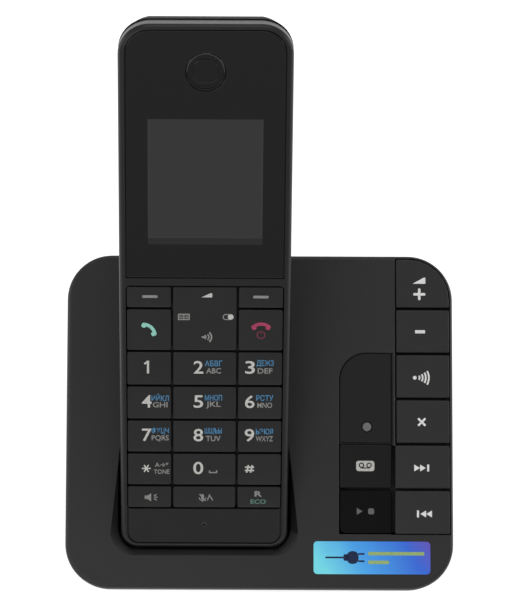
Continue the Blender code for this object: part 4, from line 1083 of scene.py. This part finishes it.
def functionLegends():
    for node, x in (("soft_key_left", -15.4), ("soft_key_right", 15.65)):
        legend(node, "bar_" + node, [bar(4.3, 0.8, 0, 0.3)], "paleInk", (x, 78.2))
    talk = [spun(stroke, -43) for stroke in receiver(4.3, 0.75, 0.95, 1.25)]
    legend("talk_key", "talkMark", talk, "mintInk", (-15.6, 68.4))
    legend("off_key", "offMark", receiver(4.5, 0.85, 0.95, 1.25), "roseInk", (15.8, 69.2))
    power = [arc(1.08, 0.38, 115, 310, 24), bar(0.38, 1.0, 0, 0, y=0.9)]
    legend("off_key", "powerMark", power, "dimRoseInk", (15.8, 66.75))


def navigatorLegends():
    wedge = flat((-1.6, -0.5), (1.45, -0.5), (1.45, 0.68), (1.0, 0.76))
    legend("navigator_key", "volumeMark", [wedge], "white", (0.6, 78.5))
    book = [bar(3.3, 0.34, 0, 0.3, y=side * 0.8) for side in (-1, 1)]
    book += [bar(0.34, 1.9, 0, 0.3, side * 1.5) for side in (-1, 0, 1)]
    book += [bar(0.9, 0.24, 0, 0, side * 0.8, up) for side in (-1, 1) for up in (-0.25, 0.25)]
    legend("navigator_key", "bookMark", book, "paleInk", (-5.9, 72.1))
    pill = [arc(0.78, 0.28, 90, 180), bar(1.4, 0.28, 0, 0, 0.7, 0.76), bar(1.4, 0.28, 0, 0, 0.7, -0.76)]
    legend("navigator_key", "switchOutline", pill, "paleInk", (5.9, 72.1))
    legend("navigator_key", "switchDot", [dot(0.82)], "white", (7.25, 72.1))
    ring = [bar(1.5, 0.4, 0, 0.3), arc(1.0, 0.4, -55, 110, x=0.35), arc(1.85, 0.45, -50, 100, x=0.25)]
    ring.append(flat((-0.4, -0.2), (0.5, -0.75), (0.5, 0.75), (-0.4, 0.2)))
    legend("navigator_key", "ringMark", ring, "paleInk", (-0.2, 66.0))


def lowerRowLegends():
    horn = [flat((-1.7, -0.54), (-0.9, -0.54), (0.15, -1.3), (0.15, 1.3), (-0.9, 0.54), (-1.7, 0.54))]
    for turn in (-35, 0, 35):
        way = Vector((math.cos(math.radians(turn)), math.sin(math.radians(turn))))
        horn.append(bar(1.0, 0.34, turn, x=0.5 + way.x, y=way.y * 1.15))
    legend("speakerphone_key", "speakerMark", horn, "paleInk", (-15.4, 16.3))
    mute = [bar(0.8, 1.8, 0, 0.45, -0.9, 0.2), arc(0.95, 0.28, 180, 180, x=-0.9)]
    mute.append(bar(0.3, 0.65, 0, 0, -0.9, -1.1))
    mute += [bar(2.8, 0.32, -52, x=-0.9), bar(2.0, 0.32, 70, x=0.8), bar(2.2, 0.32, -60, x=1.5)]
    legend("mute_key", "muteMark", mute, "paleInk", (0.4, 16.3))
    legend("recall_key", "recallLetter", [words("R", 1.6, 1.5, 0.08)], "paleInk", (15.5, 17.5))
    legend("recall_key", "ecoWord", [fitted("ECO", 1.35, 4.4)], "ecoInk", (15.5, 15.05))


def triangle(side, x=0.0):
    # points right for side 1, left for side -1
    return flat((x - side * 0.85, -1.0), (x + side * 0.85, 0), (x - side * 0.85, 1.0))


def baseLegends():
    wedge = flat((-1.9, -0.9), (1.8, -0.9), (1.8, 0.9), (1.3, 0.9))
    legend("volume_up_key", "louderWedge", [wedge], "brightInk", (46.5, 89.95))
    plus = [bar(3.5, 0.75, 0, 0.3), bar(0.75, 3.5, 0, 0.3)]
    legend("volume_up_key", "plusMark", plus, "brightInk", (46.5, 85.95))
    legend("volume_down_key", "minusMark", [bar(2.9, 0.95, 0, 0.2)], "brightInk", (46.7, 74.95))
    fan = [dot(0.56)]
    for ring, radius in enumerate((1.4, 2.3, 3.2, 4.1)):
        fan.append(arc(radius, 0.51, -26 - ring, 52 + 2 * ring))
    legend("locator_key", "locatorMark", fan, "brightInk", (45.1, 61.5))
    cross = [bar(3.0, 0.62, turn, 0.2) for turn in (45, -45)]
    legend("erase_key", "eraseMark", cross, "brightInk", (47.1, 48.6))
    for node, name, side, at in (("skip_forward_key", "forwardMark", 1, (47.2, 35.25)),
                                 ("skip_back_key", "backMark", -1, (47.6, 21.95))):
        skip = [triangle(side, side * -1.5), triangle(side, side * 0.2), bar(0.6, 2.0, 0, 0, side * 1.7)]
        legend(node, name, skip, "brightInk", at)
    play = [triangle(1, -1.7), bar(1.75, 1.75, 0, 0.3, 1.6)]
    legend("play_stop_key", "playMark", play, "dimInk", (30.8, 22.7))
    legend("answer_on_key", "answerPlate", [bar(5.3, 3.0, 0, 0.25)], "white", (30.7, 35.8))
    reels = [arc(0.62, 0.34, 0, 360, 24, side * 1.1, 0.15) for side in (-1, 1)]
    reels.append(bar(2.6, 0.34, 0, 0.3, y=-0.62))
    legend("answer_on_key", "reelMark", reels, "badgeInk", (30.7, 35.85))


def label():
    low, high = labelSize["low"], labelSize["high"]
    top = labelSize["lift"] + labelSize["thick"]
    shape = slab((*low, labelSize["lift"]), (*high, top), labelSize["corner"], 6)
    settle("label", shape, slopePlace, "base", looks["label"])
    plug = [bar(3.4, 3.7, 0, 0.4), bar(1.3, 1.9, 0, 0.2, -2.0), bar(5.4, 0.5, 0, 0, -5.2)]
    plug += [bar(1.8, 0.5, 0, 0.2, 2.5, side * 1.05) for side in (-1, 1)]
    settle("labelPlug", raised(plug, (27.0, 9.3, top)), slopePlace, "base", looks["labelInk"])
    lines = [bar(16.2, 1.0, 0, 0.2, y=1.15), bar(6.0, 1.0, 0, 0.2, -5.1, -1.35)]
    settle("labelLines", raised(lines, (39.6, 9.3, top)), slopePlace, "base", looks["labelLine"])


digitLegends()
functionLegends()
navigatorLegends()
lowerRowLegends()
baseLegends()
label()
print("stage: legends")

# finishes of the pieces kept from the frame

finishes = {
    "lower": ["base_bottom_housing"], "socket": ["line_jack", "power_jack"],
    "screw": ["base_screw_left", "base_screw_right"],
    "rubber": ["rubber_foot_front_left", "rubber_foot_front_right", "rubber_foot_rear_left",
               "rubber_foot_rear_right"],
    "silicone": ["keypad_membrane", "base_key_mat"], "board": ["handset_circuit_board"],
    "baseBoard": ["base_circuit_board"], "cell": ["battery_cell_left", "battery_cell_right"],
    "steel": ["navigator_pivot", "earpiece_speaker", "ringer_speaker", "base_speaker",
              "battery_terminals_lower", "battery_terminals_upper"],
    "gold": ["cradle_contacts", "handset_charge_contacts"], "glass": ["lcd_module"],
}
for finish, names in finishes.items():
    for name in names:
        for slot in nodes[name].material_slots:
            slot.material = looks[finish]
print("stage: finishes")

# floor, light and camera

studio = {
    "floorSize": 6.0, "floorTone": 0.52, "floorGlow": 0.86,
    "skyPower": 1.0, "sky": {"From Min": 0.05, "From Max": 0.85, "To Min": 0.30, "To Max": 0.55},
    "lights": (
        ("frontSoft", (-0.55, -0.95, 1.05), (0.0, 0.0, 0.05), 0.7, 3.2),
        ("backSoft", (0.10, 0.70, 1.30), (0.0, 0.0, 0.05), 0.8, 2.6),
        ("leftStrip", (-1.10, 0.05, 0.45), (0.0, 0.0, 0.06), 0.5, 2.2),
        ("rightStrip", (1.10, 0.05, 0.50), (0.0, 0.0, 0.06), 0.5, 2.6),
    ),
    "target": (-0.01381, 0.01304, 0.060), "far": 0.8703, "elevation": 57.3, "roll": 0.25,
    "focal": 3024.5, "pictureHigh": 600.0, "sensor": 36.0, "sideways": 52.95, "upwards": 0.3,
}


def floorAndLight():
    shape = bmesh.new()
    bmesh.ops.create_grid(shape, x_segments=1, y_segments=1, size=studio["floorSize"] / 2)
    mesh = bpy.data.meshes.new("floor")
    shape.to_mesh(mesh)
    shape.free()
    floor = bpy.data.objects.new("floor", mesh)
    scene.collection.objects.link(floor)
    glow = {"Emission Color": (1, 1, 1, 1), "Emission Strength": studio["floorGlow"]}
    look = Look("floorPaper", {"Specular IOR Level": 0.1, "Roughness": 0.9, **glow})
    pulp = look.noise(0.4, 4.0)
    look.feed("Base Color", look.mixed(pulp, grey(studio["floorTone"] * 0.985), grey(studio["floorTone"])))
    mesh.materials.append(look.material)
    world = bpy.data.worlds.new("studio")
    world.use_nodes = True
    scene.world = world
    tree = world.node_tree
    background = tree.nodes["Background"]
    background.inputs["Strength"].default_value = studio["skyPower"]
    coordinates = tree.nodes.new("ShaderNodeTexCoord")
    parts = tree.nodes.new("ShaderNodeSeparateXYZ")
    height = tree.nodes.new("ShaderNodeMapRange")
    height.interpolation_type = "SMOOTHSTEP"
    for socket, value in studio["sky"].items():
        height.inputs[socket].default_value = value
    tree.links.new(coordinates.outputs["Generated"], parts.inputs[0])
    tree.links.new(parts.outputs["Z"], height.inputs["Value"])
    tree.links.new(height.outputs[0], background.inputs["Color"])
    for name, spot, aim, size, power in studio["lights"]:
        lamp = bpy.data.lights.new(name, "AREA")
        lamp.size = size
        lamp.energy = power
        holder = bpy.data.objects.new(name, lamp)
        scene.collection.objects.link(holder)
        holder.location = spot
        holder.rotation_euler = (Vector(aim) - Vector(spot)).to_track_quat("-Z", "Y").to_euler()


def camera():
    lens = bpy.data.cameras.new("camera")
    lens.sensor_fit = "VERTICAL"
    lens.sensor_height = studio["sensor"]
    lens.lens = studio["focal"] / studio["pictureHigh"] * studio["sensor"]
    lens.shift_x = studio["sideways"] / studio["pictureHigh"]
    lens.shift_y = studio["upwards"] / studio["pictureHigh"]
    lens.clip_start = 0.01
    holder = bpy.data.objects.new("camera", lens)
    scene.collection.objects.link(holder)
    rise = math.radians(studio["elevation"])
    away = Vector((0, -math.cos(rise), math.sin(rise))) * studio["far"]
    holder.location = Vector(studio["target"]) + away
    turn = (-away).to_track_quat("-Z", "Y").to_matrix()
    turn = turn @ Matrix.Rotation(math.radians(studio["roll"]), 3, "Z")
    holder.rotation_euler = turn.to_euler()
    scene.camera = holder


floorAndLight()
camera()
scene.view_settings.view_transform = "Standard"
print("stage: studio")
